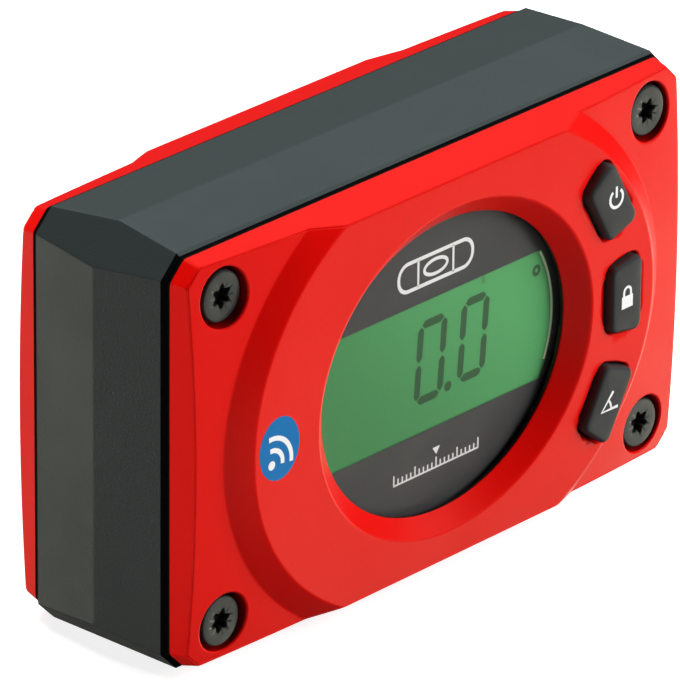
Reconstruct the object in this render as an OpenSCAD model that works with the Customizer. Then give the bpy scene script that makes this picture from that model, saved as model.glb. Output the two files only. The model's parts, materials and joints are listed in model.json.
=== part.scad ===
// Digital level in a pocket casing, in millimetres.
// The base rests on Z = 0, the display faces -Y and the width runs along X.

/* [Casing] */
// Width of the frame at its front and rear rims
body_width = 100; // [98:1:116]
// Height of the frame at its front and rear rims
body_height = 59.6; // [58.6:0.2:68]
// Depth of the frame between its end faces
frame_depth = 23.4; // [22.4:0.2:30]
// Height of the ridge round the top and the sides
ridge_height = 1; // [0.2:0.1:2]
// Cut at each corner of the frame
corner_cut = 3; // [1.5:0.1:4.5]
// Bevel on the end edges of the frame
edge_bevel = 0.6; // [0.3:0.1:1]
// Wall of the frame
frame_wall = 3.2; // [2.8:0.1:3.6]
// Thickness of each casing seal
gasket_thick = 0.5; // [0.3:0.1:1]
// Width of each casing seal
gasket_width = 1.8; // [1:0.1:2]

/* [Covers] */
// Step from the rim of the frame in to the edge of a cover
cover_inset = 0.6; // [0.4:0.1:1]
// Lean of a cover's side walls, sideways for each millimetre of height
cover_draft = 0.25; // [0.15:0.05:0.35]
// Wall of the covers
cover_wall = 2.2; // [1.6:0.1:2.4]
// Radius of the domed plate
dome_radius = 385; // [340:5:460]
// Height of the dome's middle above the seal
dome_rise = 6.2; // [5.7:0.1:6.2]
// Height of the boss's middle above the seal
boss_rise = 6.4; // [6.2:0.05:7]
// Radius of the boss's crown, bent about the width
crown_radius = 340; // [300:5:420]
// Width of the boss beyond the key ring, where it meets the plate
boss_margin = 10.7; // [9.9:0.2:11.3]
// Half height of the boss where it meets the plate
boss_half_height = 39; // [37:0.2:41]
// Height of the widest section of the boss above the seal
boss_foot = 2.8; // [2.4:0.1:3]
// Sideways run of the boss wall for each millimetre of height
boss_slope = 1.42; // [1.2:0.02:1.6]

/* [Display] */
// Width of the display glass
lcd_width = 51; // [49:0.2:52]
// Step from an end of the display glass in to the window opening
lcd_edge = 1.1; // [0.8:0.1:1.4]
// Half height of the window opening
window_half_height = 21.1; // [19:0.1:21.4]
// Depth of the red dish below the boss
dish_depth = 2.7; // [2.4:0.05:3]
// Sideways run of the dish wall for each millimetre of depth
dish_slope = 1.2; // [1:0.05:1.3]
// Straight lip at the bottom of the dish
dish_lip = 0.2; // [0.1:0.05:0.4]
// Height of the black wall between the lip and the window
bezel_depth = 1; // [0.8:0.1:1.3]
// Width of the ledge that holds the window
bezel_ledge = 1.1; // [0.8:0.1:1.3]
// Wall of the ring beside the window
bezel_wall = 1; // [0.8:0.1:1.2]
// Wall of the collar that holds the ring
collar_wall = 1.4; // [1:0.1:1.6]
// Thickness of the window
window_thick = 1.5; // [1:0.1:2]
// Height of the display glass
lcd_height = 28.6; // [27:0.2:30]
// Thickness of the display glass
lcd_thick = 1.8; // [1.2:0.1:2]
// Thickness of the light guide
backlight_thick = 2.4; // [2:0.1:3]
// Wall and floor of the display holder
holder_wall = 0.8; // [0.6:0.1:1]

/* [Keys] */
// Angle between neighbouring keys
key_angle = 26; // [25:0.5:28]
// Further turn of the two outer keys about themselves
key_turn = 3; // [0:0.5:5]
// Distance of the key ring from the end of the window opening
key_ring_gap = 9; // [8.8:0.1:9.4]
// Length of a key along the ring's radius
key_depth = 6; // [5.4:0.1:6.4]
// Half width of a key at its inner edge
key_half_inner = 4.7; // [4:0.1:5]
// Half width of a key at its outer edge
key_half_outer = 5.7; // [5:0.1:6]
// Corner radius of a key
key_corner = 1.3; // [0.8:0.1:1.8]
// Height of the keys above the middle of the boss
key_rise = 1.1; // [0.6:0.1:2]
// Travel of a key
key_travel = 0.8; // [0.4:0.1:1]
// Gap round a key
key_gap = 0.3; // [0.2:0.05:0.4]
// Depth of the flat land behind the keys below the boss
key_land_depth = 2.95; // [2.8:0.05:3.2]
// Width of the flange that keeps a key in
key_flange = 1; // [0.6:0.1:1.2]
// Diameter of a key's stem
stem_diameter = 3.2; // [2.6:0.1:4]
// Width of a switch
switch_width = 5.2; // [4.8:0.1:5.6]
// Height of a switch
switch_height = 3.5; // [3:0.1:4]
// Diameter of a switch's plunger
plunger_diameter = 2.4; // [1.8:0.1:2.6]
// Height of a plunger above its switch
plunger_rise = 0.95; // [0.85:0.05:1.2]

/* [Fasteners] */
// Distance of a cover screw from the side rim
screw_inset_x = 7.6; // [7.4:0.1:8.4]
// Distance of a cover screw from the top or bottom rim
screw_inset_z = 6.5; // [6.4:0.1:7.2]
// Diameter of a cover screw's head
head_diameter = 7.2; // [6.4:0.1:7.6]
// Height of a cover screw's head
head_height = 2.1; // [1.8:0.1:2.3]
// Height of a cover screw's seat above the seal
head_lift = 0.5; // [0.3:0.1:0.6]
// Diameter of a cover screw's shank
shank_diameter = 2.9; // [2.4:0.1:3.2]
// Length of a cover screw's shank
shank_length = 9; // [6:0.5:9.5]
// Across the lobes of a cover screw's socket
socket_diameter = 3.3; // [2.6:0.1:3.6]
// Depth of a cover screw's socket
socket_depth = 1.3; // [0.8:0.1:1.5]
// Gap round a screw's head
head_gap = 0.3; // [0.2:0.05:0.4]
// Gap around a head in its recess
recess_gap = 0.6; // [0.4:0.1:0.7]
// Wall of the foot under a screw's head
foot_wall = 0.9; // [0.7:0.1:1.1]
// Depth of a cover's foot in the frame
foot_depth = 2; // [1.6:0.1:2.4]
// Diameter of a board screw's shank
board_screw_diameter = 1.8; // [1.6:0.1:2.2]
// Length of a board screw in its pillar
board_screw_grip = 4.5; // [3.5:0.5:5]

/* [Electronics] */
// Thickness of the circuit board
board_thick = 1.6; // [1:0.1:2]
// Gap between the circuit board and the frame
board_gap = 1; // [0.6:0.1:1.4]
// Diameter of the pillars that carry the board
pillar_diameter = 5; // [4.2:0.1:5.4]
// Distance of the left pillars from the end wall inside the frame
pillar_left_x = 16.8; // [16.2:0.2:17.4]
// Distance of the left pillars from the long walls inside the frame
pillar_left_z = 8.6; // [8:0.2:9.4]
// Distance of the right pillars from the end wall inside the frame
pillar_right_x = 26.8; // [26:0.2:28]
// Distance of the right pillars from the long walls inside the frame
pillar_right_z = 4.1; // [3.7:0.2:4.7]
// Width of the tilt sensor
sensor_width = 5; // [3:0.5:7]
// Width of the processor
processor_width = 9; // [6:0.5:12]
// Height of the chips
chip_height = 1.3; // [0.8:0.1:2]
// Width of the radio module
radio_width = 11; // [9:0.5:13]
// Length of the radio module
radio_length = 16; // [12:0.5:20]
// Diameter of the buzzer
buzzer_diameter = 9; // [7:0.5:12]
// Height of the buzzer
buzzer_height = 4.5; // [3:0.5:6]

/* [Battery] */
// Diameter of a cell
cell_diameter = 10.5; // [10:0.1:10.8]
// Length of a cell with its button
cell_length = 44.5; // [43:0.1:45]
// Distance between the two cells
cell_pitch = 12; // [11.4:0.1:12.4]
// Room at each end of a cell
cell_end_room = 3.5; // [3:0.1:3.8]
// Room beside the cells
cell_side_room = 1; // [0.6:0.1:1.2]
// Wall of the battery tray
tray_wall = 1.2; // [0.8:0.1:1.4]
// Thickness of the battery door
door_thick = 2.35; // [2.2:0.05:2.6]
// Corner radius of the battery door
door_corner = 2.5; // [1.5:0.1:4]
// Gap round the battery door
door_gap = 0.4; // [0.3:0.05:0.5]
// Width of the ledge under the battery door
door_ledge = 1.6; // [1.4:0.1:1.8]
// Length of the door's tab beside the tray
door_tab = 8; // [7.6:0.1:8.4]
// Thickness of the door seal
door_seal = 0.4; // [0.3:0.05:0.5]
// Diameter of the door screw's shank
door_screw_diameter = 2.6; // [2:0.1:2.8]
// Diameter of the door screw's head
door_head_diameter = 5; // [4:0.1:5.2]

/* [Base] */
// Diameter of a base magnet
magnet_diameter = 10; // [6:0.5:14]
// Thickness of a base magnet
magnet_thick = 2.2; // [1.5:0.1:2.4]
// Distance between the two base magnets
magnet_pitch = 56; // [30:1:60]

/* [Hidden] */
$fn = 72;

RED = "#d8160f";
CASING = "#2f3336";
RUBBER = "#1d1e1f";
BLACK = "#141414";

// Fine rounding for the wide dome and crown
dome_fn = 360;
// Small fits: a slip fit between fixed pieces, and an overlap for cuts
fit = 0.05;
cut = 0.5;
// Overlap of a rib with the wall that carries it
rib_overlap = 0.2;
// Rim of a key's land round its flange
land_rim = 0.8;
flange_thick = 1;
// Depth of a plunger in its switch
plunger_sunk = 0.7;
// Wall between a cover's foot and the room inside the frame
block_wall = 0.6;
// Rubber strips that join the display's edges to the board
strip_width = 1.6;
strip_edge = 0.6;
strip_end = 2;
// Heads of the board's screws
board_head = 1.2;
// Radio module: its board, and the can on it
radio_board = 0.8;
can_height = 2;
can_border = 1;
// Ledge under the battery door, room over the cells, and gap under them
ledge_thick = 1.8;
cell_clearance = 1.15;
cell_rest = 0.15;
// Pillar of the door's screw, the depth of its hole and the length of the screw in it
door_pillar_height = 4;
door_hole_depth = 3.2;
door_screw_grip = 2.4;
door_pillar_gap = 1;
// Door's screw: floor under the head, the head and its slot
door_floor = 0.9;
door_head = 1.2;
door_slot = 0.8;
// Contacts of the cells
contact_thick = 0.4;
leg_width = 2;
// Offset of an oval's wide arcs for each millimetre between its half sizes
oval_shift = 1.45;

// Levels out from the middle plane of the casing
end_level = frame_depth / 2;
seat_level = end_level + gasket_thick;
dome_level = seat_level + dome_rise;
boss_level = seat_level + boss_rise;
lip_level = boss_level - dish_depth;
window_level = lip_level - bezel_depth;
bezel_back = window_level - window_thick;
lcd_level = bezel_back - 2 * fit;
light_level = lcd_level - lcd_thick;
floor_level = light_level - backlight_thick;
board_level = floor_level - holder_wall;
board_back = board_level - board_thick;
key_land = boss_level - key_land_depth;
// Ribs inside a cover end here, inside its wall
rib_level = boss_level - cover_wall + rib_overlap;
flange_level = key_land - key_gap;
plunger_level = board_level + switch_height + plunger_rise;
head_seat = seat_level + head_lift;
foot_level = seat_level - foot_depth;
door_level = boss_level - door_thick;
ledge_level = door_level - door_seal;
tray_level = ledge_level - ledge_thick;
cell_level = door_level - cell_clearance - cell_diameter / 2;
tray_floor = cell_level - cell_diameter / 2 - cell_rest;

// Plan sizes
mid_height = body_height / 2;
window_half_width = lcd_width / 2 - lcd_edge;
key_ring = window_half_width + key_ring_gap;
boss_half_width = key_ring + boss_margin;
strip_y = lcd_height / 2 - strip_width / 2 - strip_edge;
screw_x = body_width / 2 - screw_inset_x;
screw_z = mid_height - screw_inset_z;
foot_radius = head_diameter / 2 + head_gap + foot_wall;
block_half = foot_radius + fit + block_wall;
room_x = body_width / 2 - frame_wall;
room_z = mid_height - frame_wall;
cell_room_x = cell_length + 2 * cell_end_room;
cell_room_z = cell_pitch + cell_diameter + 2 * cell_side_room;
door_x = cell_room_x + door_ledge + door_tab;
door_z = cell_room_z + 2 * door_ledge;
door_shift = (door_tab - door_ledge) / 2;
door_screw_x = cell_room_x / 2 + door_tab / 2 + tray_wall / 2;
door_pillar = door_tab - tray_wall - 2 * fit - door_pillar_gap;
pillar_spots = [
  [pillar_left_x - room_x, room_z - pillar_left_z], [pillar_left_x - room_x, pillar_left_z - room_z],
  [room_x - pillar_right_x, room_z - pillar_right_z], [room_x - pillar_right_x, pillar_right_z - room_z]
];
// Places of the pieces on the rear face of the board
processor_place = [-10, 8];
sensor_place = [0, -9];
radio_place = [radio_width - room_x, 0];
buzzer_place = [14, 4];
KEYS = [1, 0, -1];

// Frames of the two faces: local Z runs out of the face, local Y runs up
module on_front() { translate([0, 0, mid_height]) rotate([90, 0, 0]) children(); }
module on_rear() { translate([0, 0, mid_height]) rotate([90, 0, 180]) children(); }

// One of the three places on the key ring
module at_key(place) {
  rotate(place * key_angle) translate([key_ring, 0, 0]) rotate(place * key_turn) children();
}

// The four corner screws of a cover
module at_screws() {
  for (x = [-1, 1], y = [-1, 1]) translate([x * screw_x, y * screw_z, 0]) children();
}

module at_pillars() { for (spot = pillar_spots) translate([spot[0], spot[1], 0]) children(); }

// Rectangle with cut corners
module cut_rectangle(half_x, half_y, cut_size) {
  polygon([
    for (side = [[1, 1], [-1, 1], [-1, -1], [1, -1]], step = [0, 1])
      let (first = (side[0] * side[1] > 0) == (step == 0))
        [side[0] * (half_x - (first ? 0 : cut_size)), side[1] * (half_y - (first ? cut_size : 0))]
  ]);
}

// Rectangle with round corners
module round_rectangle(size_x, size_y, radius) {
  square([size_x - 2 * radius, size_y], center = true);
  square([size_x, size_y - 2 * radius], center = true);
  for (x = [-1, 1], y = [-1, 1])
    translate([x * (size_x / 2 - radius), y * (size_y / 2 - radius)]) circle(radius);
}

// Oval where a disc of the full width crosses two wider ones, with walls that may lean by spread
module oval(half_x, half_y, height, spread = 0) {
  shift = oval_shift * (half_x - half_y);
  intersection() {
    cylinder(r1 = half_x, r2 = half_x + spread, h = height);
    for_both(shift) cylinder(r1 = half_y + shift, r2 = half_y + shift + spread, h = height);
  }
}

// What two copies share when they are moved up and down
module for_both(shift) {
  intersection() {
    translate([0, shift, 0]) children();
    translate([0, -shift, 0]) children();
  }
}

// Outline of a cover, drawn in by a step from the frame's rim
module cover_outline(inset) {
  cut_rectangle(body_width / 2 - inset, mid_height - inset, corner_cut - inset * (2 - sqrt(2)));
}

// Leaning sides of a cover: one wedge across each pair of sides and of cut corners
module cover_sides(bottom, inset) {
  corner = (body_width / 2 + mid_height - corner_cut) / sqrt(2);
  intersection() {
    wedge(bottom, body_width / 2 - inset);
    rotate(90) wedge(bottom, mid_height - inset);
    for_turns(45) wedge(bottom, corner - inset);
  }
}

// Long block that is narrower above the seal by the draft
module wedge(bottom, half) {
  top = boss_level + 1;
  low = half + cover_draft * (seat_level - bottom);
  high = half - cover_draft * (top - seat_level);
  rotate([90, 0, 0]) linear_extrude(4 * body_width, center = true)
    polygon([[-low, bottom], [low, bottom], [high, top], [-high, top]]);
}

// What two copies share when they are turned either way
module for_turns(angle) {
  intersection() {
    rotate(angle) children();
    rotate(-angle) children();
  }
}

// Outer form of a cover, or its hollow when drawn in by a wall
module cover_form(bottom, wall = 0) {
  height = boss_level - seat_level + boss_foot;
  intersection() {
    cover_sides(bottom, cover_inset + wall);
    union() {
      translate([0, 0, dome_level - dome_radius]) sphere(dome_radius - wall, $fn = dome_fn);
      intersection() {
        translate([0, 0, seat_level + boss_foot - height])
          oval(boss_half_width + height * boss_slope - wall,
               boss_half_height + height * boss_slope - wall, 2 * height, -2 * height * boss_slope);
        crown(wall);
      }
    }
  }
}

// Everything under the crown of the boss
module crown(wall = 0) {
  translate([0, 0, boss_level - crown_radius]) rotate([0, 90, 0])
    cylinder(r = crown_radius - wall, h = 2 * body_width, center = true, $fn = dome_fn);
}

// Shell of a cover with its corner feet; children are the ribs and walls inside it
module cover_shell() {
  difference() {
    cover_form(seat_level);
    difference() {
      cover_form(seat_level - cut, cover_wall);
      at_screws() cylinder(r = foot_radius, h = boss_level);
    }
  }
  intersection() {
    cover_form(0);
    at_screws() translate([0, 0, foot_level]) cylinder(r = foot_radius, h = boss_level);
  }
  children();
}

// Holes and head recesses of the cover screws
module screw_holes() {
  at_screws() {
    translate([0, 0, head_seat]) cylinder(d = head_diameter + 2 * recess_gap, h = boss_level);
    cylinder(d = shank_diameter + 2 * head_gap, h = boss_level);
  }
}

// Corners of a key's outline, wider away from the window, grown by a step
function key_corners(grow) = let (
  inner = key_half_inner + grow,
  outer = key_half_outer + grow,
  run = key_depth / 2 + grow
) [[-run, -inner], [run, -outer], [run, outer], [-run, inner]];

// Opening or land of a key, with cut corners that clear its round ones
module key_opening(grow) {
  corners = key_corners(grow);
  step = (key_corner + grow) * (2 - sqrt(2));
  polygon([
    for (i = [0 : 3], way = [3, 1])
      let (along = corners[(i + way) % 4] - corners[i]) corners[i] + step * along / norm(along)
  ]);
}

// Outline of a key with round corners
module key_outline(grow = 0) {
  corners = key_corners(grow - key_corner);
  inner = corners[3][1];
  outer = corners[2][1];
  run = corners[2][0];
  lean = atan2(outer - inner, 2 * run);
  side = key_corner * [-sin(lean), cos(lean)];
  for (corner = corners) translate(corner) circle(key_corner);
  polygon([
    corners[0] - [key_corner, 0], corners[0] + [side[0], -side[1]], corners[1] + [side[0], -side[1]],
    corners[1] + [key_corner, 0], corners[2] + [key_corner, 0], corners[2] + side,
    corners[3] + side, corners[3] - [key_corner, 0]
  ]);
}

module frame() {
  half_x = body_width / 2;
  top = body_height;
  bevel_level = end_level - edge_bevel;
  color(CASING) difference() {
    intersection() {
      // Plan from above: the ridges of the two sides
      linear_extrude(top + ridge_height) polygon([
        for (turn = [1, -1], point = [[half_x - edge_bevel, -end_level], [half_x, -bevel_level],
          [half_x + ridge_height, 0], [half_x, bevel_level], [half_x - edge_bevel, end_level]])
            turn * point
      ]);
      // Section across the width: the ridge of the top and the flat base
      translate([-body_width, 0, 0]) rotate([90, 0, 90]) linear_extrude(2 * body_width) polygon([
        [-bevel_level, 0], [bevel_level, 0], [end_level, edge_bevel], [end_level, top - edge_bevel],
        [bevel_level, top], [0, top + ridge_height], [-bevel_level, top], [-end_level, top - edge_bevel],
        [-end_level, edge_bevel]
      ]);
      // Front view: the cut corners
      translate([0, end_level, mid_height]) rotate([90, 0, 0]) linear_extrude(frame_depth)
        cut_rectangle(half_x + ridge_height, mid_height + ridge_height, corner_cut + 2 * ridge_height);
    }
    translate([0, end_level + cut, mid_height]) rotate([90, 0, 0])
      linear_extrude(frame_depth + 2 * cut) frame_room();
    for (face = [0, 1]) face_side(face) at_screws() {
      translate([0, 0, foot_level - fit]) cylinder(r = foot_radius + fit, h = foot_depth + cut);
      translate([0, 0, head_seat - shank_length - cut])
        cylinder(d = shank_diameter + 2 * fit, h = shank_length);
    }
    at_magnets() translate([0, 0, -cut])
      cylinder(d = magnet_diameter + 2 * fit, h = magnet_thick + 2 * fit + cut);
  }
}

module face_side(face) { if (face == 0) on_front() children(); else on_rear() children(); }

// Room inside the frame, less the four screw blocks
module frame_room() {
  square([2 * room_x, 2 * (screw_z - block_half)], center = true);
  square([2 * (screw_x - block_half), 2 * room_z], center = true);
}

module at_magnets() { for (side = [-1, 1]) translate([side * magnet_pitch / 2, 0, 0]) children(); }

module base_magnets() {
  color("#8f9294") at_magnets() translate([0, 0, 2 * fit])
    cylinder(d = magnet_diameter, h = magnet_thick);
}

module gasket() {
  translate([0, 0, end_level]) linear_extrude(gasket_thick) difference() {
    cover_outline(cover_inset + fit);
    cover_outline(cover_inset + gasket_width);
    at_screws() circle(foot_radius + fit);
  }
}

module front_gasket() { color(BLACK) on_front() gasket(); }

module rear_gasket() { color(BLACK) on_rear() gasket(); }

module front_cover() {
  bezel_x = window_half_width + bezel_ledge + bezel_wall;
  bezel_y = window_half_height + bezel_ledge + bezel_wall;
  dish_height = dish_depth + 1;
  color(RED) on_front() difference() {
    cover_shell() {
      // Collar round the display
      translate([0, 0, bezel_back])
        oval(bezel_x + collar_wall, bezel_y + collar_wall, rib_level - bezel_back);
      // Flat lands behind the keys
      for (place = KEYS) at_key(place)
        translate([0, 0, key_land])
          linear_extrude(rib_level - key_land) key_opening(key_gap + key_flange + land_rim);
      // Pillars of the circuit board
      at_pillars() translate([0, 0, board_level])
        cylinder(d = pillar_diameter, h = rib_level - board_level);
    }
    translate([0, 0, bezel_back - cut]) oval(bezel_x + fit, bezel_y + fit, lip_level - bezel_back + cut);
    translate([0, 0, lip_level - cut]) oval(window_half_width, window_half_height, dish_lip + 2 * cut);
    translate([0, 0, lip_level + dish_lip])
      oval(window_half_width, window_half_height, dish_height, dish_height * dish_slope);
    for (place = KEYS) at_key(place) linear_extrude(2 * boss_level) key_opening(key_gap);
    at_pillars()
      cylinder(d = board_screw_diameter + 2 * fit, h = board_level + board_screw_grip + cut);
    screw_holes();
  }
}

module window_bezel() {
  ring_x = window_half_width + bezel_ledge;
  ring_y = window_half_height + bezel_ledge;
  color(BLACK) on_front() difference() {
    translate([0, 0, bezel_back]) oval(ring_x + bezel_wall, ring_y + bezel_wall, lip_level - bezel_back);
    translate([0, 0, bezel_back - cut]) oval(window_half_width, window_half_height, boss_level);
    translate([0, 0, bezel_back - cut]) oval(ring_x + fit, ring_y + fit, window_thick + cut);
  }
}

module display_window() {
  color("#c9d2cf", 0.4) on_front() translate([0, 0, bezel_back])
    oval(window_half_width + bezel_ledge, window_half_height + bezel_ledge, window_thick);
}

module lcd_panel() {
  color("#3f8f4b") on_front() translate([0, 0, light_level])
    linear_extrude(lcd_thick) square([lcd_width, lcd_height], center = true);
}

module lcd_backlight() {
  light_height = 2 * strip_y - strip_width - holder_wall;
  color("#d9ecd2") on_front() translate([0, 0, floor_level])
    linear_extrude(backlight_thick) square([lcd_width, light_height], center = true);
}

module lcd_connectors() {
  color("#c98fa0") on_front() for (side = [-1, 1])
    translate([0, side * strip_y, board_level])
      linear_extrude(light_level - board_level)
        square([lcd_width - 2 * strip_end, strip_width], center = true);
}

module lcd_holder() {
  inner = [lcd_width + 2 * fit, lcd_height + 2 * fit];
  outer = inner + 2 * holder_wall * [1, 1];
  color("#e4e4df") on_front() translate([0, 0, board_level]) difference() {
    linear_extrude(bezel_back - board_level) square(outer, center = true);
    translate([0, 0, holder_wall]) linear_extrude(boss_level) square(inner, center = true);
    for (side = [-1, 1]) translate([0, side * strip_y, -cut])
      linear_extrude(boss_level)
        square([lcd_width - 2 * strip_end + 2 * fit, strip_width + 2 * fit], center = true);
  }
}

module main_board() {
  color("#1f5b3a") on_front() translate([0, 0, board_back]) linear_extrude(board_thick) difference() {
    union() {
      square([2 * (room_x - board_gap), 2 * (screw_z - block_half - board_gap)], center = true);
      square([2 * (screw_x - block_half - board_gap), 2 * (room_z - board_gap)], center = true);
    }
    at_pillars() circle(d = board_screw_diameter + 2 * head_gap);
  }
}

module board_screws() {
  color("#b9bbbd") on_front() at_pillars() {
    translate([0, 0, board_back - board_head]) cylinder(d = 2 * board_screw_diameter, h = board_head);
    translate([0, 0, board_back - fit])
      cylinder(d = board_screw_diameter, h = board_thick + board_screw_grip + fit);
  }
}

// A block on the rear face of the board
module on_board(place) {
  on_front() translate([place[0], place[1], board_back]) rotate([180, 0, 0]) children();
}

module tilt_sensor() {
  color("#2a2a2c") on_board(sensor_place) linear_extrude(chip_height)
    square(sensor_width, center = true);
}

module processor_chip() {
  color("#232426") on_board(processor_place) linear_extrude(chip_height)
    square(processor_width, center = true);
}

module radio_module() {
  can = radio_width - 2 * can_border;
  color("#a9adb0") on_board(radio_place) {
    linear_extrude(radio_board) square([radio_width, radio_length], center = true);
    translate([0, (can - radio_length) / 2 + can_border, 0])
      linear_extrude(radio_board + can_height) square(can, center = true);
  }
}

module buzzer() {
  color("#17181a") on_board(buzzer_place) difference() {
    cylinder(d = buzzer_diameter, h = buzzer_height);
    translate([0, 0, buzzer_height * 0.75]) cylinder(d = buzzer_diameter / 5, h = buzzer_height);
  }
}

module switch_cans() {
  hole_floor = switch_height - plunger_sunk - key_travel - key_gap;
  color("#3a3c3e") on_front() for (place = KEYS) at_key(place)
    translate([0, 0, board_level]) difference() {
      linear_extrude(switch_height) square(switch_width, center = true);
      translate([0, 0, hole_floor]) cylinder(d = plunger_diameter + 2 * key_gap, h = switch_height);
    }
}

// Plunger of a switch, which drops into its can with the key
module plunger(place) {
  color("#c9c5b4") on_front() at_key(place)
    translate([0, 0, board_level + switch_height - plunger_sunk])
      cylinder(d = plunger_diameter, h = plunger_rise + plunger_sunk);
}

// Rubber key with its flange and stem
module key(place) {
  color(RUBBER) on_front() at_key(place) {
    translate([0, 0, flange_level]) linear_extrude(boss_level + key_rise - flange_level) key_outline();
    translate([0, 0, flange_level - flange_thick])
      linear_extrude(flange_thick) key_outline(key_flange);
    translate([0, 0, plunger_level])
      cylinder(d = stem_diameter, h = flange_level - plunger_level);
  }
}

module power_key() { key(1); }

module power_plunger() { plunger(1); }

module hold_key() { key(0); }

module hold_plunger() { plunger(0); }

module mode_key() { key(-1); }

module mode_plunger() { plunger(-1); }

// Six-lobe screw, head outwards
module cover_screw() {
  lobe = socket_diameter / 8;
  difference() {
    union() {
      translate([0, 0, head_seat]) cylinder(d = head_diameter, h = head_height);
      translate([0, 0, head_seat - shank_length]) cylinder(d = shank_diameter, h = shank_length + fit);
    }
    translate([0, 0, head_seat + head_height - socket_depth]) {
      cylinder(d = socket_diameter - 2 * lobe, h = head_height);
      for (turn = [0 : 60 : 300]) rotate(turn)
        translate([socket_diameter / 2 - lobe, 0, 0]) cylinder(r = lobe, h = head_height);
    }
  }
}

module cover_screws() {
  color(BLACK) for (face = [0, 1]) face_side(face) at_screws() cover_screw();
}

// Places of the battery door and its screw, seen from behind
module at_door() { translate([door_shift, 0, 0]) children(); }

module at_door_screw() { translate([door_screw_x, 0, 0]) children(); }

module rear_cover() {
  color(RED) on_rear() difference() {
    cover_shell() {
      // Frame of the battery opening
      at_door() translate([0, 0, tray_level]) linear_extrude(rib_level - tray_level)
        round_rectangle(door_x + 2 * cover_wall, door_z + 2 * cover_wall, door_corner);
      at_door_screw() translate([0, 0, tray_level - door_pillar_height])
        cylinder(d = door_pillar, h = door_pillar_height + fit);
    }
    at_door() translate([0, 0, ledge_level]) linear_extrude(boss_level)
      round_rectangle(door_x, door_z, door_corner);
    linear_extrude(2 * boss_level) square([cell_room_x, cell_room_z], center = true);
    at_door_screw() translate([0, 0, tray_level - door_hole_depth])
      cylinder(d = door_screw_diameter + 2 * door_gap, h = boss_level);
    screw_holes();
  }
}

module battery_tray() {
  depth = tray_level - tray_floor;
  color("#26282a") on_rear() difference() {
    union() {
      translate([0, 0, tray_floor - tray_wall]) linear_extrude(depth + tray_wall) difference() {
        square([cell_room_x + 2 * tray_wall, cell_room_z + 2 * tray_wall], center = true);
        square([cell_room_x, cell_room_z], center = true);
      }
      translate([0, 0, tray_floor - tray_wall])
        linear_extrude(tray_wall) square([cell_room_x + fit, cell_room_z + fit], center = true);
      // Two saddles under the cells
      for (x = [-1, 1]) translate([x * cell_length / 4, 0, tray_floor - fit])
        linear_extrude(cell_diameter / 4) square([4, cell_room_z + fit], center = true);
    }
    at_cells() cylinder(d = cell_diameter, h = cell_length, center = true);
    at_contacts() translate([contact_thick / 2, 0, 0])
      cube([contact_thick + 4 * fit, leg_width + 8 * fit, 4 * cell_level], center = true);
  }
}

// The cells lie along the width, one above the other, in turned about directions
module at_cells() {
  for (row = [-1, 1])
    translate([0, row * cell_pitch / 2, cell_level]) rotate([0, row * 90, 0]) children();
}

module battery_cells() {
  button = 1;
  color("#c7a23a") on_rear() at_cells() {
    translate([0, 0, -cell_length / 2]) cylinder(d = cell_diameter, h = cell_length - button);
    translate([0, 0, cell_length / 2 - button - fit]) cylinder(d = cell_diameter * 0.4, h = button + fit);
  }
}

// A spot on the end wall beside each end of each cell, facing the cell
module at_contacts() {
  for (turn = [0, 180], row = [-1, 1])
    rotate(turn) translate([-cell_room_x / 2, row * cell_pitch / 2, cell_level]) children();
}

module battery_contacts() {
  plate = cell_diameter * 0.75;
  roll = (cell_end_room - contact_thick + 0.1) / 2;
  color("#c8ccd0") on_rear() at_contacts() {
    translate([contact_thick / 2 + fit, 0, 0]) cube([contact_thick, plate, plate], center = true);
    // Rolled leaf that presses on the end of the cell
    translate([contact_thick + roll - 0.15, 0, 0]) rotate([90, 0, 0]) difference() {
      cylinder(r = roll, h = plate * 0.7, center = true);
      cylinder(r = roll - contact_thick, h = plate, center = true);
    }
    // Leg that runs through the floor of the tray to the board
    translate([contact_thick / 2 + fit, 0, (-board_back - cell_level) / 2])
      cube([contact_thick, leg_width, cell_level + board_back], center = true);
  }
}

module battery_door() {
  color(RED) on_rear() difference() {
    intersection() {
      at_door() translate([0, 0, door_level]) linear_extrude(door_thick)
        round_rectangle(door_x - 2 * door_gap, door_z - 2 * door_gap, door_corner - door_gap);
      crown();
    }
    at_door_screw() {
      cylinder(d = door_screw_diameter + 2 * fit, h = 2 * boss_level);
      translate([0, 0, door_level + door_floor])
        cylinder(d = door_head_diameter + 2 * door_gap, h = boss_level);
    }
  }
}

module door_gasket() {
  color(BLACK) on_rear() translate([0, 0, ledge_level + 2 * fit]) linear_extrude(door_seal - 2 * fit)
    difference() {
      at_door()
        round_rectangle(door_x - 3 * door_gap, door_z - 3 * door_gap, door_corner - 1.5 * door_gap);
      square([cell_room_x + door_gap, cell_room_z + door_gap], center = true);
      at_door_screw() circle(d = door_screw_diameter + 2 * door_gap);
    }
}

module door_screw() {
  seat = door_level + door_floor;
  tip = tray_level - door_screw_grip;
  color("#33363a") on_rear() at_door_screw() difference() {
    union() {
      translate([0, 0, seat]) cylinder(d = door_head_diameter, h = door_head);
      translate([0, 0, tip]) cylinder(d = door_screw_diameter, h = seat + fit - tip);
    }
    translate([0, 0, seat + door_head])
      cube([2 * door_head_diameter, door_slot, door_head], center = true);
  }
}

frame();
front_cover();
rear_cover();
front_gasket();
rear_gasket();
cover_screws();
window_bezel();
display_window();
lcd_panel();
lcd_backlight();
lcd_holder();
lcd_connectors();
main_board();
board_screws();
tilt_sensor();
processor_chip();
radio_module();
buzzer();
switch_cans();
power_key();
power_plunger();
hold_key();
hold_plunger();
mode_key();
mode_plunger();
battery_tray();
battery_cells();
battery_contacts();
battery_door();
door_gasket();
door_screw();
base_magnets();
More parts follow.
